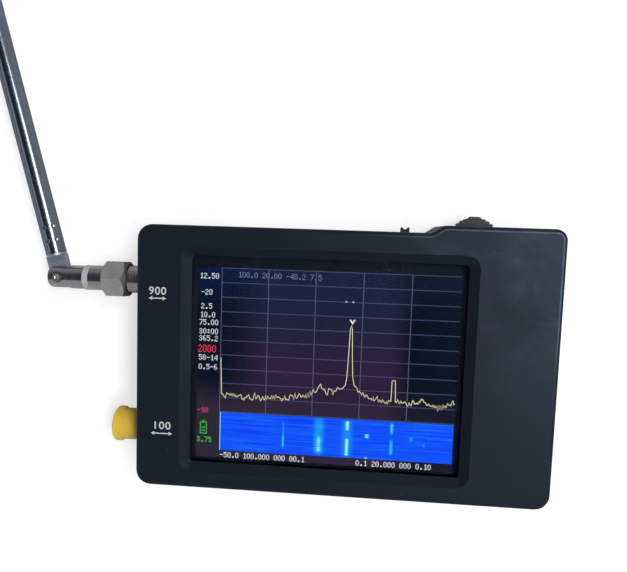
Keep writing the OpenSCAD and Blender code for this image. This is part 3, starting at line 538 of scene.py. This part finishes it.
def make_screen_black():
    """Unlit dots: backlight that leaks through, navy at the sides, blue at the top, purple in the middle, and
    a painted reflection at the lower left.
    """
    material, finish, shader = new_finish("Screen black level")
    dots = finish.effect(SCREEN_DOTS, Gap=0.1)
    parts = finish.split(finish.place())
    across = finish.remap(parts[0], LIT_LEFT, LIT_LEFT + DOTS_ACROSS * DOT)
    down = finish.remap(parts[1], LIT_TOP - DOTS_DOWN * DOT, LIT_TOP, 1.0, 0.0)
    top = finish.ease(down, 0.0, 0.25, 1.0, 0.0)
    upper = finish.colour_mix(finish.remap(across, 0.55, 0.75), display(5, 27, 63), display(15, 27, 45))
    tone = finish.colour_mix(top, display(5, 14, 33), upper)
    from_left = finish.ease(across, 0.1, 0.3)
    from_right = finish.ease(across, 0.74, 0.84, 1.0, 0.0)
    middle = finish.colour_mix(finish.ease(down, 0.12, 0.55), display(26, 36, 62), display(50, 32, 64))
    tone = finish.colour_mix(finish.times(from_left, from_right), tone, middle)
    # Painted reflection: a brownish grey glare over the lower left of the dots
    foot = finish.ease(down, 0.56, 0.76, 0.0, 0.85)
    left = finish.remap(across, 0.0, 0.8, 1.0, 0.3)
    tone = finish.colour_mix(finish.times(foot, left), tone, display(54, 46, 58))
    haze = finish.noise(finish.place(), 90.0, 3.0)
    level = finish.times(dots["Dot"], finish.remap(haze, 0.3, 0.7, 0.85, 1.1))
    finish.feed(shader["Emission Color"], finish.colour_mix(level, BLACK, tone))
    set_glow(shader, (0.003, 0.003, 0.004), 0.45)
    return material


# Brighter marks of the waterfall: column, half width, first and last row, strength, softness of the ends
WATERFALL_MARKS = [
    (30.5, 1.3, 181.0, 231.0, 0.9, 1.0), (110.5, 1.8, 190.0, 208.0, 0.4, 3.0),
    (110.5, 2.3, 206.0, 222.0, 0.75, 3.0), (155.0, 9.5, 183.0, 206.0, 0.5, 6.0),
    (155.0, 8.5, 203.0, 227.0, 0.8, 5.0), (190.0, 5.4, 184.0, 196.0, 1.0, 1.2),
    (190.0, 5.0, 206.0, 228.0, 1.0, 1.2), (190.0, 11.0, 184.0, 228.0, 0.34, 4.0),
    (214.5, 5.0, 199.0, 204.0, 1.0, 1.2), (214.0, 2.8, 228.0, 231.0, 0.85, 1.0),
    (244.5, 3.6, 184.0, 197.0, 0.78, 1.5), (244.5, 3.4, 205.0, 223.0, 0.72, 2.0),
    (268.5, 3.4, 200.0, 204.0, 0.6, 1.2), (284.0, 1.8, 207.0, 212.0, 0.4, 1.0)]


def make_waterfall():
    """History of past sweeps: blue noise in rows, with pale columns where signals stood."""
    material, finish, shader = new_finish("Screen waterfall")
    dots = finish.effect(SCREEN_DOTS, Gap=0.1)
    place = finish.place()
    parts = finish.split(place)
    column = finish.calc("DIVIDE", finish.minus(parts[0], LIT_LEFT), DOT)
    row = finish.calc("DIVIDE", finish.minus(LIT_TOP, parts[1]), DOT)
    rows = finish.noise(finish.stretched(place, (70.0, 3600.0, 1.0)), 1.0, 3.0, 0.6)
    grain = finish.noise(place, 4200.0, 2.0)
    right = finish.ease(column, 90.0, DOTS_ACROSS)
    tone = finish.colour_mix(right, display(6, 60, 242), display(8, 62, 250))
    tone = finish.colour_mix(finish.remap(rows, 0.4, 0.7, 0.0, 0.75), tone, display(26, 124, 255))
    tone = finish.colour_mix(finish.remap(grain, 0.55, 0.75, 0.0, 0.3), tone, display(4, 40, 206))
    glow = 0.0
    for centre, half, first, last, strength, soft in WATERFALL_MARKS:
        off = finish.calc("ABSOLUTE", finish.minus(column, centre))
        side = finish.ease(off, 0.0, half, strength, 0.0)
        away = finish.calc("ABSOLUTE", finish.minus(row, (first + last) / 2))
        reach = (last - first) / 2
        inside = finish.ease(away, reach - soft, reach + soft, 1.0, 0.0)
        glow = finish.calc("MAXIMUM", finish.times(side, inside), glow)
    strong = finish.times(glow, finish.remap(rows, 0.3, 0.6, 0.75, 1.05))
    tone = finish.colour_mix(finish.remap(strong, 0.0, 0.7), tone, display(26, 178, 246))
    tone = finish.colour_mix(finish.remap(strong, 0.62, 1.0), tone, display(190, 250, 252))
    finish.feed(shader["Emission Color"], finish.colour_mix(dots["Dot"], (0.0, 0.0, 0.05), tone))
    set_glow(shader, (0.003, 0.003, 0.006), 0.45, 1.2)
    return material


def make_port_print():
    """White pad print, a little thin in places."""
    material, finish, shader = new_finish("Port print")
    thin = finish.remap(finish.noise(finish.place(), 3200.0, 3.0, 0.6), 0.32, 0.5)
    tone = finish.colour_mix(thin, (0.34, 0.36, 0.38), (0.68, 0.69, 0.69))
    finish.feed(shader["Base Color"], tone)
    finish.feed(shader["Roughness"], finish.remap(thin, 0.0, 1.0, 0.65, 0.5))
    finish.feed(shader["Normal"], finish.bump(thin, 4 * MICRON))
    return material


# Each finish, with the nodes that it dresses
FINISHES = [
    (make_case_plastic(), "front_shell rear_shell"),
    (moulded("Control plastic", (0.006, 0.0065, 0.0075), (0.0085, 0.009, 0.0105),
             (0.42, 0.56), grain=(5200.0, 10 * MICRON), rub=(0.035, 0.036, 0.04),
             tint=(0.8, 0.93, 1.0)), "power_knob jog_lever"),
    (plated("Screw steel", (0.16, 0.16, 0.165), (0.1, 0.1, 0.105), (0.3, 0.42),
            axis=(0.0, 0.0, 1.0), rub=(0.4, 0.4, 0.4)), "case_screws"),
    (moulded("Gasket foam", (0.012, 0.012, 0.012), (0.02, 0.02, 0.02), (0.85, 0.95),
             grain=(2600.0, 40 * MICRON)), "window_gasket touch_tape lcd_foam_pads"),
    (make_touch_glass(), "touch_panel"),
    (moulded("LCD border", (0.0125, 0.0175, 0.031), (0.015, 0.02, 0.034), (0.22, 0.3),
             grain=(5000.0, 2 * MICRON), specular=0.06), "lcd_panel"),
    (moulded("Amber flex", (0.42, 0.17, 0.02), (0.34, 0.12, 0.015), (0.28, 0.4),
             grain=(1500.0, 6 * MICRON)), "lcd_flex"),
    (make_board_mask(), "main_board"),
    (moulded("Chip moulding", (0.012, 0.012, 0.013), (0.02, 0.02, 0.021), (0.55, 0.7),
             grain=(9000.0, 6 * MICRON)), "board_chips"),
    (sheet_metal("Tinned can", (0.56, 0.56, 0.54), (0.46, 0.46, 0.45), (0.26, 0.4)),
     "oscillator_can shield_can"),
    (sheet_metal("Pouch foil", (0.62, 0.63, 0.65), (0.5, 0.51, 0.53), (0.3, 0.45)), "battery"),
    (moulded("White tape", (0.74, 0.73, 0.68), (0.66, 0.65, 0.6), (0.6, 0.75)), "battery_tape"),
    (moulded("Lead rubber", (0.42, 0.012, 0.012), (0.34, 0.01, 0.01), (0.4, 0.55)), "battery_leads"),
    (moulded("Cream nylon", (0.7, 0.64, 0.48), (0.62, 0.56, 0.42), (0.4, 0.55)),
     "battery_plug battery_header"),
    (plated("Jack nickel", (0.5, 0.46, 0.43), (0.4, 0.36, 0.34), (0.16, 0.24),
            rub=(0.62, 0.6, 0.58), depth=0.6 * MICRON), "upper_jack_body lower_jack_body"),
    (moulded("Antenna fluoropolymer", (0.56, 0.555, 0.61), (0.47, 0.465, 0.525), (0.35, 0.5),
             grain=(1200.0, 10 * MICRON)), "upper_jack_dielectric lower_jack_dielectric antenna_insulator"),
    (plated("Contact gold", (0.78, 0.52, 0.18), (0.66, 0.42, 0.14), (0.16, 0.26)),
     "upper_jack_contact lower_jack_contact antenna_pin"),
    (make_cap_vinyl(), "dust_cap"),
    (sheet_metal("USB shell steel", (0.5, 0.5, 0.51), (0.4, 0.4, 0.41), (0.24, 0.36)), "usb_shell"),
    (moulded("USB tongue", (0.012, 0.012, 0.013), (0.018, 0.018, 0.02), (0.45, 0.6)), "usb_tongue"),
    (moulded("Switch housing", (0.34, 0.34, 0.33), (0.28, 0.28, 0.27), (0.5, 0.65)), "power_switch_housing"),
    (moulded("Jog housing", (0.014, 0.014, 0.015), (0.02, 0.02, 0.022), (0.5, 0.65)), "jog_housing"),
    (moulded("Jog carriage", (0.66, 0.66, 0.63), (0.58, 0.58, 0.55), (0.4, 0.55)), "jog_carriage"),
    (plated("Jog steel", (0.52, 0.52, 0.52), (0.42, 0.42, 0.42), (0.22, 0.34),
            axis=(0.0, 0.0, 1.0)), "jog_push_contact jog_pin"),
    (make_nut_nickel(), "coupling_nut nut_ring"),
    (make_elbow_nickel(), "antenna_ferrule elbow_fork"),
    (plated("Rivet nickel", (0.6, 0.58, 0.57), (0.48, 0.45, 0.44), (0.24, 0.32),
            axis=(0.0, 0.0, 1.0), rub=(0.75, 0.73, 0.72)), "elbow_rivet"),
    (plated("Root nickel", (0.46, 0.51, 0.58), (0.36, 0.41, 0.48), (0.38, 0.48),
            axis=WHIP_AXIS, depth=0.5 * MICRON, rub=(0.6, 0.64, 0.7)), "whip_root"),
    (plated("Whip chrome", (0.23, 0.265, 0.32), (0.2, 0.23, 0.28), (0.19, 0.22),
            axis=WHIP_AXIS, lines=5000.0, depth=0.1 * MICRON, smudge=0.015, edge=(0.6, 0.64, 0.7)),
     "whip_base_tube whip_section_2 whip_section_3 whip_section_4 whip_section_5 whip_tip"),
    (plated("Spring bronze", (0.55, 0.3, 0.14), (0.44, 0.23, 0.1), (0.24, 0.36),
            axis=WHIP_AXIS), "elbow_washers whip_clip_2 whip_clip_3 whip_clip_4 whip_clip_5"),
]
for finish_material, node_names in FINISHES:
    for node_name in node_names.split():
        nodes[node_name].material_slots[0].material = finish_material


# Flats of a shell that meet at less than this are shaded as one curve
SHELL_CREASE = math.radians(28)


def shade_shell(shell):
    """Shades the narrow flats of a shell's rounded edges as one curve, and keeps its wide faces flat."""
    mesh = shell.data

    def spot_of(vertex):
        """Key of a vertex's place, to the micrometre."""
        return tuple(round(value, 6) for value in mesh.vertices[vertex].co)

    planes = {}
    for face in mesh.polygons:
        level = round(face.normal.dot(face.center), 5)
        key = (round(face.normal.x, 3), round(face.normal.y, 3), round(face.normal.z, 3), level)
        planes.setdefault(key, []).append(face.index)
    plane_of = {}
    area_of = {}
    for key, members in planes.items():
        area_of[key] = sum(mesh.polygons[i].area for i in members)
        for i in members:
            plane_of[i] = key
    meeting = {}
    for face in mesh.polygons:
        for vertex in face.vertices:
            meeting.setdefault(spot_of(vertex), {})[plane_of[face.index]] = face.normal.copy()
    normals = [None] * len(mesh.loops)
    for face in mesh.polygons:
        face.use_smooth = True
        for loop in face.loop_indices:
            total = Vector((0.0, 0.0, 0.0))
            for key, normal in meeting[spot_of(mesh.loops[loop].vertex_index)].items():
                if face.normal.dot(normal) > math.cos(SHELL_CREASE):
                    total += normal * area_of[key]
            normals[loop] = total.normalized() if total.length > 0 else face.normal.copy()
    mesh.normals_split_custom_set(normals)


# A jack's thread: its radii, what counts as facing outwards, and the share of round shading
THREAD_RADII = (2.8 * MM, 3.3 * MM)
THREAD_OUTWARD = 0.3
THREAD_ROUND = 0.88

# Length of thread inside the nut's end that is shaded as if it were bare
NUT_MARGIN = 0.3 * MM


def soften_thread(jack, covered):
    """Turns the shading of a jack's thread, past its covered length, towards the barrel's own round."""
    mesh = jack.data
    tip = min(vertex.co.x for vertex in mesh.vertices)
    ring = [vertex.co for vertex in mesh.vertices if vertex.co.x < tip + 0.01 * MM]
    middle = sum(ring, Vector()) / len(ring)
    normals = [corner.vector.copy() for corner in mesh.corner_normals]
    for loop in mesh.loops:
        spot = mesh.vertices[loop.vertex_index].co
        outward = Vector((0.0, spot.y - middle.y, spot.z - middle.z))
        on_thread = THREAD_RADII[0] < outward.length < THREAD_RADII[1] and spot.x > tip + covered
        outward.normalize()
        normal = normals[loop.index]
        if on_thread and normal.dot(outward) > THREAD_OUTWARD:
            normals[loop.index] = (outward * THREAD_ROUND + normal * (1.0 - THREAD_ROUND)).normalized()
    for face in mesh.polygons:
        face.use_smooth = True
    mesh.normals_split_custom_set(normals)


shade_shell(nodes["front_shell"])
shade_shell(nodes["rear_shell"])
nut_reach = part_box("coupling_nut")[1].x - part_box("upper_jack_body")[0].x
soften_thread(nodes["upper_jack_body"], nut_reach - NUT_MARGIN)


def screen_point(column, row):
    """Place on the display of a dot counted from the lit area's top left corner."""
    return LIT_LEFT + column * DOT, LIT_TOP - row * DOT


def add_prism(shape, corners, low, high):
    """Adds a closed flat plate with the given outline."""
    foot = [shape.verts.new((x, y, low)) for x, y in corners]
    head = [shape.verts.new((x, y, high)) for x, y in corners]
    shape.faces.new(list(reversed(foot)))
    shape.faces.new(head)
    count = len(corners)
    for i in range(count):
        j = (i + 1) % count
        shape.faces.new((foot[i], foot[j], head[j], head[i]))


def add_bar(shape, left, top, right, bottom, low, high):
    """Adds a plate over a block of dots."""
    x0, y0 = screen_point(left, bottom)
    x1, y1 = screen_point(right, top)
    add_prism(shape, [(x0, y0), (x1, y0), (x1, y1), (x0, y1)], low, high)


# A ribbon's corners: the least length of a lean that gives a direction, and the sharpest mitre
LEAST_LEAN = 0.05
LEAST_MITRE = 0.62


def add_ribbon(shape, points, width, low, high):
    """Adds a closed strip of nearly even width along a line of points."""
    rows = []
    count = len(points)
    for i in range(count):
        before = points[max(i - 1, 0)]
        after = points[min(i + 1, count - 1)]
        here = points[i]
        into = Vector((here[0] - before[0], here[1] - before[1]))
        away = Vector((after[0] - here[0], after[1] - here[1]))
        into = into.normalized() if into.length else away.normalized()
        away = away.normalized() if away.length else into
        lean = into + away
        lean = lean.normalized() if lean.length > LEAST_LEAN else away
        side = Vector((-lean.y, lean.x))
        square = Vector((-away.y, away.x))
        reach = width / 2 / max(side.dot(square), LEAST_MITRE)
        left = (here[0] + side.x * reach, here[1] + side.y * reach)
        right = (here[0] - side.x * reach, here[1] - side.y * reach)
        rows.append([shape.verts.new((*right, low)), shape.verts.new((*left, low)),
                     shape.verts.new((*left, high)), shape.verts.new((*right, high))])
    for first, second in zip(rows, rows[1:]):
        for a in range(4):
            b = (a + 1) % 4
            shape.faces.new((first[a], first[b], second[b], second[a]))
    shape.faces.new(list(reversed(rows[0])))
    shape.faces.new(rows[-1])


def new_piece(name, shape, finish_material, body):
    """Turns a shape into a piece that rides on a body."""
    bmesh.ops.recalc_face_normals(shape, faces=shape.faces)
    mesh = bpy.data.meshes.new(name)
    shape.to_mesh(mesh)
    shape.free()
    mesh.materials.append(finish_material)
    piece = bpy.data.objects.new(name, mesh)
    bpy.context.scene.collection.objects.link(piece)
    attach(piece, body)


def new_screen_piece(name, shape, finish_material):
    """Turns a shape into a piece of what the display shows."""
    new_piece(name, shape, finish_material, "case")


# Rows of lit dots of each sign that the display can show
SIGNS = {
    "0": ".##. #..# #..# #..# #..# #..# .##.", "1": "..#. .##. ..#. ..#. ..#. ..#. .###",
    "2": ".##. #..# ...# ..#. .#.. #... ####", "3": ".##. #..# ...# .##. ...# #..# .##.",
    "4": "...# ..## .#.# #..# #### ...# ...#", "5": "#### #... ###. ...# ...# #..# .##.",
    "6": ".##. #... #... ###. #..# #..# .##.", "7": "#### ...# ...# ..#. ..#. .#.. .#..",
    "8": ".##. #..# #..# .##. #..# #..# .##.", "9": ".##. #..# #..# .### ...# ...# .##.",
    ".": ".... .... .... .... .... .##. .##.", "-": ".... .... .... #### .... .... ....",
    ":": ".... .##. .##. .... .##. .##. ....", " ": ".... .... .... .... .... .... ....",
}


# Step from sign to sign and rows of a sign, in dots, and the gap above and below a dot
SIGN_STEP = 4.9
SIGN_ROWS = 7
SIGN_GAP = 0.03


def add_screen_number(shape, text, column, row, wide, tall, low, high):
    """Adds a number in display dots, from its left column and its middle row."""
    for place, sign in enumerate(text):
        start = column + place * SIGN_STEP * wide
        for level, line in enumerate(SIGNS[sign].split()):
            top = row + (level - SIGN_ROWS / 2) * tall
            for run in re.finditer("#+", line):
                add_bar(shape, start + run.start() * wide, top + SIGN_GAP,
                        start + run.end() * wide, top + tall - SIGN_GAP, low, high)


# Printed digits: their height, the share of the font's size that it is, spacing and boldness
PRINT_HEIGHT = 1.65 * MM
PRINT_SHARE = 0.69
PRINT_SPACING = 1.08
PRINT_BOLD = 0.03 * MM


def add_print_number(shape, text, x, y, low, high, stretch):
    """Adds printed digits whose lower middle is at x and y."""
    curve = bpy.data.curves.new("digits", "FONT")
    curve.body = text
    curve.size = PRINT_HEIGHT / PRINT_SHARE
    curve.align_x = "CENTER"
    curve.space_character = PRINT_SPACING
    curve.resolution_u = 4
    curve.offset = PRINT_BOLD
    curve.extrude = (high - low) / 2
    digits = bpy.data.objects.new("digits", curve)
    bpy.context.scene.collection.objects.link(digits)
    bpy.context.view_layer.update()
    mesh = bpy.data.meshes.new_from_object(digits.evaluated_get(bpy.context.evaluated_depsgraph_get()))
    mesh.transform(Matrix.Translation((x, y, (low + high) / 2)) @ Matrix.Diagonal((stretch, 1.0, 1.0, 1.0)))
    shape.from_mesh(mesh)
    bpy.data.objects.remove(digits)
    bpy.data.curves.remove(curve)
    bpy.data.meshes.remove(mesh)


# Layers above the face of the display
BLACK_LOW = LCD_FACE + 0.002 * MM
BLACK_HIGH = LCD_FACE + 0.010 * MM
GRID_HIGH = LCD_FACE + 0.018 * MM
TRACE_HIGH = LCD_FACE + 0.026 * MM
MARK_HIGH = LCD_FACE + 0.034 * MM


# Numbers on the display: colour, width and height of a dot, then each text, its left column and middle row
SCREEN_NUMBERS = {
    "white": ((238, 244, 255), 1.0, 1.0, [
        ("12.50", 2, 10.8), ("-20", 4, 30.8), ("2.5", 4, 48.3), ("10.0", 3, 59.0), ("75.00", 2, 68.5),
        ("30:00", 2, 79.8), ("365.2", 2, 88.6), ("58-14", 2, 112.8), ("0.5-6", 2, 124.5),
        ("-50.0 100.000 000 00.1", 31, 236.2), ("0.1 20.000 000 0.10", 202, 236.2)]),
    "red": ((246, 66, 92), 1.2, 1.35, [("2000", 1, 101.6)]),
    "pink": ((222, 70, 116), 1.0, 1.0, [("-90", 1, 179.7)]),
    "green": ((104, 212, 96), 1.0, 1.0, [("3.75", 1, 217.7)]),
    "dim": ((112, 136, 178), 1.0, 1.0, [("100.0 20.00 -48.2 7.5", 50, 8.0)]),
}


# Sweep, in dots: points of its noise floor, its tall peak, a lesser spike and the spans that these two take
SWEEP_FLOOR = [
    (33, 159), (60, 160.5), (100, 160), (125, 157), (140, 153), (150, 148), (153, 143), (155.5, 139),
    (158, 144), (164, 147), (172, 147.5), (180, 145.5), (184, 143), (199, 144), (205, 149), (215, 152),
    (228, 154.5), (239, 156), (250, 157), (264, 160), (272, 156), (278, 151.5), (284, 157), (300, 161),
    (310, 158), (315.5, 154.5), (320, 159)]
SWEEP_PEAK = [
    (185.5, 139), (187.2, 128), (188.2, 102), (189.2, 70), (190.4, 64.8), (191.6, 69), (192.8, 102),
    (194.2, 128), (196.5, 139)]
SWEEP_SPIKE = [(241.9, 156), (242.3, 131), (243.2, 130.2), (245.6, 130.2), (246.5, 131), (247.2, 156.5)]
SWEEP_START = [(30.0, 112.0), (30.8, 134.0), (31.6, 158.0)]
PEAK_SPAN = (184.0, 199.0)
SPIKE_SPAN = (241.0, 248.0)
SWEEP_STEP = 1.25
SWEEP_NOISE = 2.2
SWEEP_SEED = 41
SWEEP_WIDTH = 0.8 * DOT

# Marker over the peak, the two dashes above it, and the bars of the battery sign, in dots
CHEVRON = [(191.5, 64.0), (195.4, 57.6), (193.1, 57.6), (191.5, 60.4), (189.9, 57.6), (187.6, 57.6)]
DASHES = [(183.0, 36.1), (191.5, 36.1)]
DASH_HALF = 0.8
BATTERY_BARS = [
    (7.4, 193.0, 11.2, 195.0), (4.8, 195.0, 13.8, 196.4), (4.8, 196.4, 6.2, 209.2),
    (12.4, 196.4, 13.8, 209.2), (4.8, 209.2, 13.8, 210.6), (7.4, 201.4, 11.2, 203.2),
    (7.4, 205.2, 11.2, 207.0)]


def sweep_dots():
    """The sweep as dots: spike at the left end, noise floor, one tall peak and a lesser one."""
    noise = random.Random(SWEEP_SEED)
    floor = []
    for (c0, r0), (c1, r1) in zip(SWEEP_FLOOR, SWEEP_FLOOR[1:]):
        steps = max(1, round((c1 - c0) / SWEEP_STEP))
        for i in range(steps):
            share = i / steps
            floor.append((c0 + (c1 - c0) * share, r0 + (r1 - r0) * share + noise.gauss(0.0, SWEEP_NOISE)))
    dots = list(SWEEP_START)
    for column, row in floor:
        inside_peak = PEAK_SPAN[0] <= column < PEAK_SPAN[1]
        inside_spike = SPIKE_SPAN[0] <= column < SPIKE_SPAN[1]
        if not inside_peak and not inside_spike:
            dots.append((column, row))
    return sorted(dots + SWEEP_PEAK + SWEEP_SPIKE)


def make_screen():
    """Everything that the display shows: plain numbers, a grid, one sweep and its history."""
    shape = bmesh.new()
    add_bar(shape, 0, 0, DOTS_ACROSS, DOTS_DOWN, BLACK_LOW, BLACK_HIGH)
    new_screen_piece("screen_black", shape, make_screen_black())

    shape = bmesh.new()
    add_bar(shape, PLOT_LEFT, WATERFALL_TOP, PLOT_RIGHT - 1, WATERFALL_FOOT, BLACK_HIGH, GRID_HIGH)
    new_screen_piece("screen_waterfall", shape, make_waterfall())

    shape = bmesh.new()
    for row in range(0, PLOT_FOOT + 1, GRID_ROW_STEP):
        add_bar(shape, PLOT_LEFT, row + GRID_GAP, PLOT_RIGHT, row + 1 - GRID_GAP, BLACK_HIGH, GRID_HIGH)
    material = lit("Screen grid rows", display(78, 88, 124), display(58, 66, 98))
    new_screen_piece("screen_grid_rows", shape, material)

    shape = bmesh.new()
    for column in range(PLOT_LEFT, PLOT_RIGHT, GRID_COLUMN_STEP):
        add_bar(shape, column - 1 + GRID_GAP, 0, column - GRID_GAP, PLOT_FOOT + 1, BLACK_HIGH, GRID_HIGH)
    material = lit("Screen grid columns", display(94, 102, 136), display(72, 80, 112))
    new_screen_piece("screen_grid_columns", shape, material)

    shape = bmesh.new()
    points = [screen_point(column, row) for column, row in sweep_dots()]
    add_ribbon(shape, points, SWEEP_WIDTH, GRID_HIGH, TRACE_HIGH)
    material = lit("Screen sweep", display(255, 250, 190), display(246, 238, 160), 0.06)
    new_screen_piece("screen_sweep", shape, material)

    shape = bmesh.new()
    add_prism(shape, [screen_point(*corner) for corner in CHEVRON], TRACE_HIGH, MARK_HIGH)
    for column, row in DASHES:
        add_bar(shape, column - DASH_HALF, row - DASH_HALF, column + DASH_HALF, row + DASH_HALF,
                TRACE_HIGH, MARK_HIGH)
    new_screen_piece("screen_marker", shape, lit("Screen marker", display(250, 250, 255)))

    for colour, (tint, wide, tall, texts) in SCREEN_NUMBERS.items():
        shape = bmesh.new()
        for text, column, row in texts:
            add_screen_number(shape, text, column, row, wide, tall, BLACK_HIGH, GRID_HIGH)
        new_screen_piece("screen_numbers_" + colour, shape, lit("Screen numbers " + colour, display(*tint)))

    shape = bmesh.new()
    for left, top, right, bottom in BATTERY_BARS:
        add_bar(shape, left, top, right, bottom, BLACK_HIGH, GRID_HIGH)
    new_screen_piece("screen_battery_icon", shape, lit("Screen battery icon", display(56, 190, 70)))


# Printed marks, in millimetres: number, its middle, foot and stretch, then the arrow's two ends and its level
PORT_MARKS = [
    ("100", -39.6, -16.1, 1.12, -42.1, -37.15, -17.1),
    ("900", -40.8, 14.05, 1.05, -42.8, -38.8, 13.2)]
PRINT_LOW = 0.002 * MM
PRINT_HIGH = 0.014 * MM

# An arrow's point: length and half of its width, and half of its line's width, in millimetres
ARROW_HEAD = 0.85
ARROW_HALF = 0.42
ARROW_LINE = 0.13


def add_arrow(shape, left, right, level, low, high):
    """Adds a thin line with a point at both ends, in millimetres."""
    inner_left = left + ARROW_HEAD
    inner_right = right - ARROW_HEAD
    outline = [(left, level), (inner_left, level - ARROW_HALF), (inner_left, level - ARROW_LINE),
               (inner_right, level - ARROW_LINE), (inner_right, level - ARROW_HALF), (right, level),
               (inner_right, level + ARROW_HALF), (inner_right, level + ARROW_LINE),
               (inner_left, level + ARROW_LINE), (inner_left, level + ARROW_HALF)]
    add_prism(shape, [(x * MM, y * MM) for x, y in outline], low, high)


def make_port_marks():
    """Printed numbers beside the two jacks, with the arrows under them."""
    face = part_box("front_shell")[1].z
    low = face + PRINT_LOW
    high = face + PRINT_HIGH
    shape = bmesh.new()
    for text, middle, foot, stretch, left, right, level in PORT_MARKS:
        add_print_number(shape, text, middle * MM, foot * MM, low, high, stretch)
        add_arrow(shape, left, right, level, low, high)
    new_piece("port_marks", shape, make_port_print(), "case")


# Floor: its size in metres, the strength of its own light, and the span over which it grows whiter
FLOOR_SIZE = 3.0
FLOOR_GLOW = 0.6
FLOOR_SPAN = (0.3, 1.2)


def make_floor():
    """Pale floor that shows white and keeps the shadow."""
    shape = bmesh.new()
    bmesh.ops.create_grid(shape, x_segments=1, y_segments=1, size=FLOOR_SIZE)
    mesh = bpy.data.meshes.new("floor")
    shape.to_mesh(mesh)
    shape.free()
    material, finish, shader = new_finish("Floor paper")
    rays = finish.add("ShaderNodeLightPath").outputs
    seen = finish.calc("MAXIMUM", rays["Is Camera Ray"], rays["Is Transmission Ray"])
    finish.feed(shader["Emission Strength"], finish.times(seen, FLOOR_GLOW))
    away = finish.add("ShaderNodeVectorMath", {0: finish.place()}, operation="LENGTH").outputs["Value"]
    glow = finish.colour_mix(finish.remap(away, *FLOOR_SPAN), WHITE, (1.7, 1.7, 1.7))
    finish.feed(shader["Emission Color"], glow)
    shader["Base Color"].default_value = (0.6, 0.6, 0.6, 1.0)
    shader["Roughness"].default_value = 0.9
    shader["Specular IOR Level"].default_value = 0.0
    mesh.materials.append(material)
    floor = bpy.data.objects.new("floor", mesh)
    bpy.context.scene.collection.objects.link(floor)


# Room light by the upward part of a direction: at the horizon, overhead, and between them
HORIZON = (0.36, 0.365, 0.38)
OVERHEAD = (0.022, 0.027, 0.045)
ROOM_TONES = [(0.3, (0.3, 0.305, 0.32)), (0.6, (0.17, 0.178, 0.195)), (0.8, (0.035, 0.04, 0.06))]
FRONT_WALL = (0.43, 0.425, 0.44)
RIGHT_WALL = (0.42, 0.43, 0.46)


def make_room():
    """Soft room: dim overhead, brighter left and near, two pale walls, white to the camera."""
    world = bpy.data.worlds.new("Room")
    bpy.context.scene.world = world
    world.use_nodes = True
    world.node_tree.nodes.clear()
    finish = Finish(world.node_tree)
    parts = finish.split(finish.add("ShaderNodeTexCoord").outputs["Generated"])
    ramp = finish.add("ShaderNodeValToRGB", {"Fac": parts[2]})
    stops = ramp.color_ramp.elements
    stops[0].position = 0.0
    stops[0].color = solid(HORIZON)
    stops[1].position = 1.0
    stops[1].color = solid(OVERHEAD)
    for position, colour in ROOM_TONES:
        stop = stops.new(position)
        stop.color = solid(colour)
    side = finish.remap(parts[0], -0.9, 0.9, 1.3, 0.6)
    near = finish.remap(parts[1], -0.9, 0.9, 1.4, 0.9)
    room = finish.colour_mix(1.0, ramp.outputs["Color"], finish.times(side, near), "MULTIPLY")
    front = finish.ease(parts[1], -0.48, -0.42, 1.0, 0.0)
    raised = finish.ease(parts[2], 0.15, 0.4)
    room = finish.colour_mix(finish.times(front, raised), room, FRONT_WALL)
    aside = finish.ease(parts[0], 0.5, 0.62)
    under_lamp = finish.ease(parts[2], 0.62, 0.78, 1.0, 0.0)
    room = finish.colour_mix(finish.times(aside, under_lamp), room, RIGHT_WALL)
    rays = finish.add("ShaderNodeLightPath").outputs
    shown = finish.colour_mix(rays["Is Camera Ray"], room, WHITE)
    background = finish.add("ShaderNodeBackground", {"Color": shown, "Strength": 1.0})
    output = finish.add("ShaderNodeOutputWorld")
    finish.feed(output.inputs["Surface"], background.outputs["Background"])


def stand(name, data, place, right, back):
    """Puts a lamp or a camera at a place, with its right side and its back along the given directions."""
    holder = bpy.data.objects.new(name, data)
    turn = Matrix((right, back.cross(right), back)).transposed().to_4x4()
    holder.matrix_world = Matrix.Translation(place) @ turn
    bpy.context.scene.collection.objects.link(holder)
    return holder


# Soft lamps, which look at the origin: name, place, direction of the width, width, height and watts
SOFTBOXES = [
    ("key_softbox", (0.48, 0.15, 0.9), (1.0, 0.0, 0.0), 0.26, 0.85, 8.5),
    ("fill_softbox", (-0.75, 0.1, 0.72), (0.7, 0.0, 0.7), 0.25, 0.8, 0.45)]


def add_softbox(name, place, across, width, height, watts):
    """A soft lamp that looks at the origin, with its width along a given direction."""
    lamp = bpy.data.lights.new(name, "AREA")
    lamp.shape = "RECTANGLE"
    lamp.size = width
    lamp.size_y = height
    lamp.energy = watts
    back = Vector(place).normalized()
    side = Vector(across)
    side = (side - back * side.dot(back)).normalized()
    stand(name, lamp, place, side, back)


def make_camera():
    """Camera at the photograph's place and angle."""
    lens = bpy.data.cameras.new("camera")
    lens.lens = CAMERA_LENS
    lens.sensor_width = CAMERA_SENSOR
    lens.sensor_fit = "HORIZONTAL"
    lens.clip_start, lens.clip_end = CAMERA_CLIP
    back = -CAMERA_AIM.normalized()
    right = CAMERA_UP.cross(back).normalized()
    bpy.context.scene.camera = stand("camera", lens, CAMERA_PLACE, right, back)


make_camera()
make_screen()
make_port_marks()
make_floor()
make_room()
for softbox in SOFTBOXES:
    add_softbox(*softbox)
bpy.context.scene.view_settings.view_transform = "Standard"
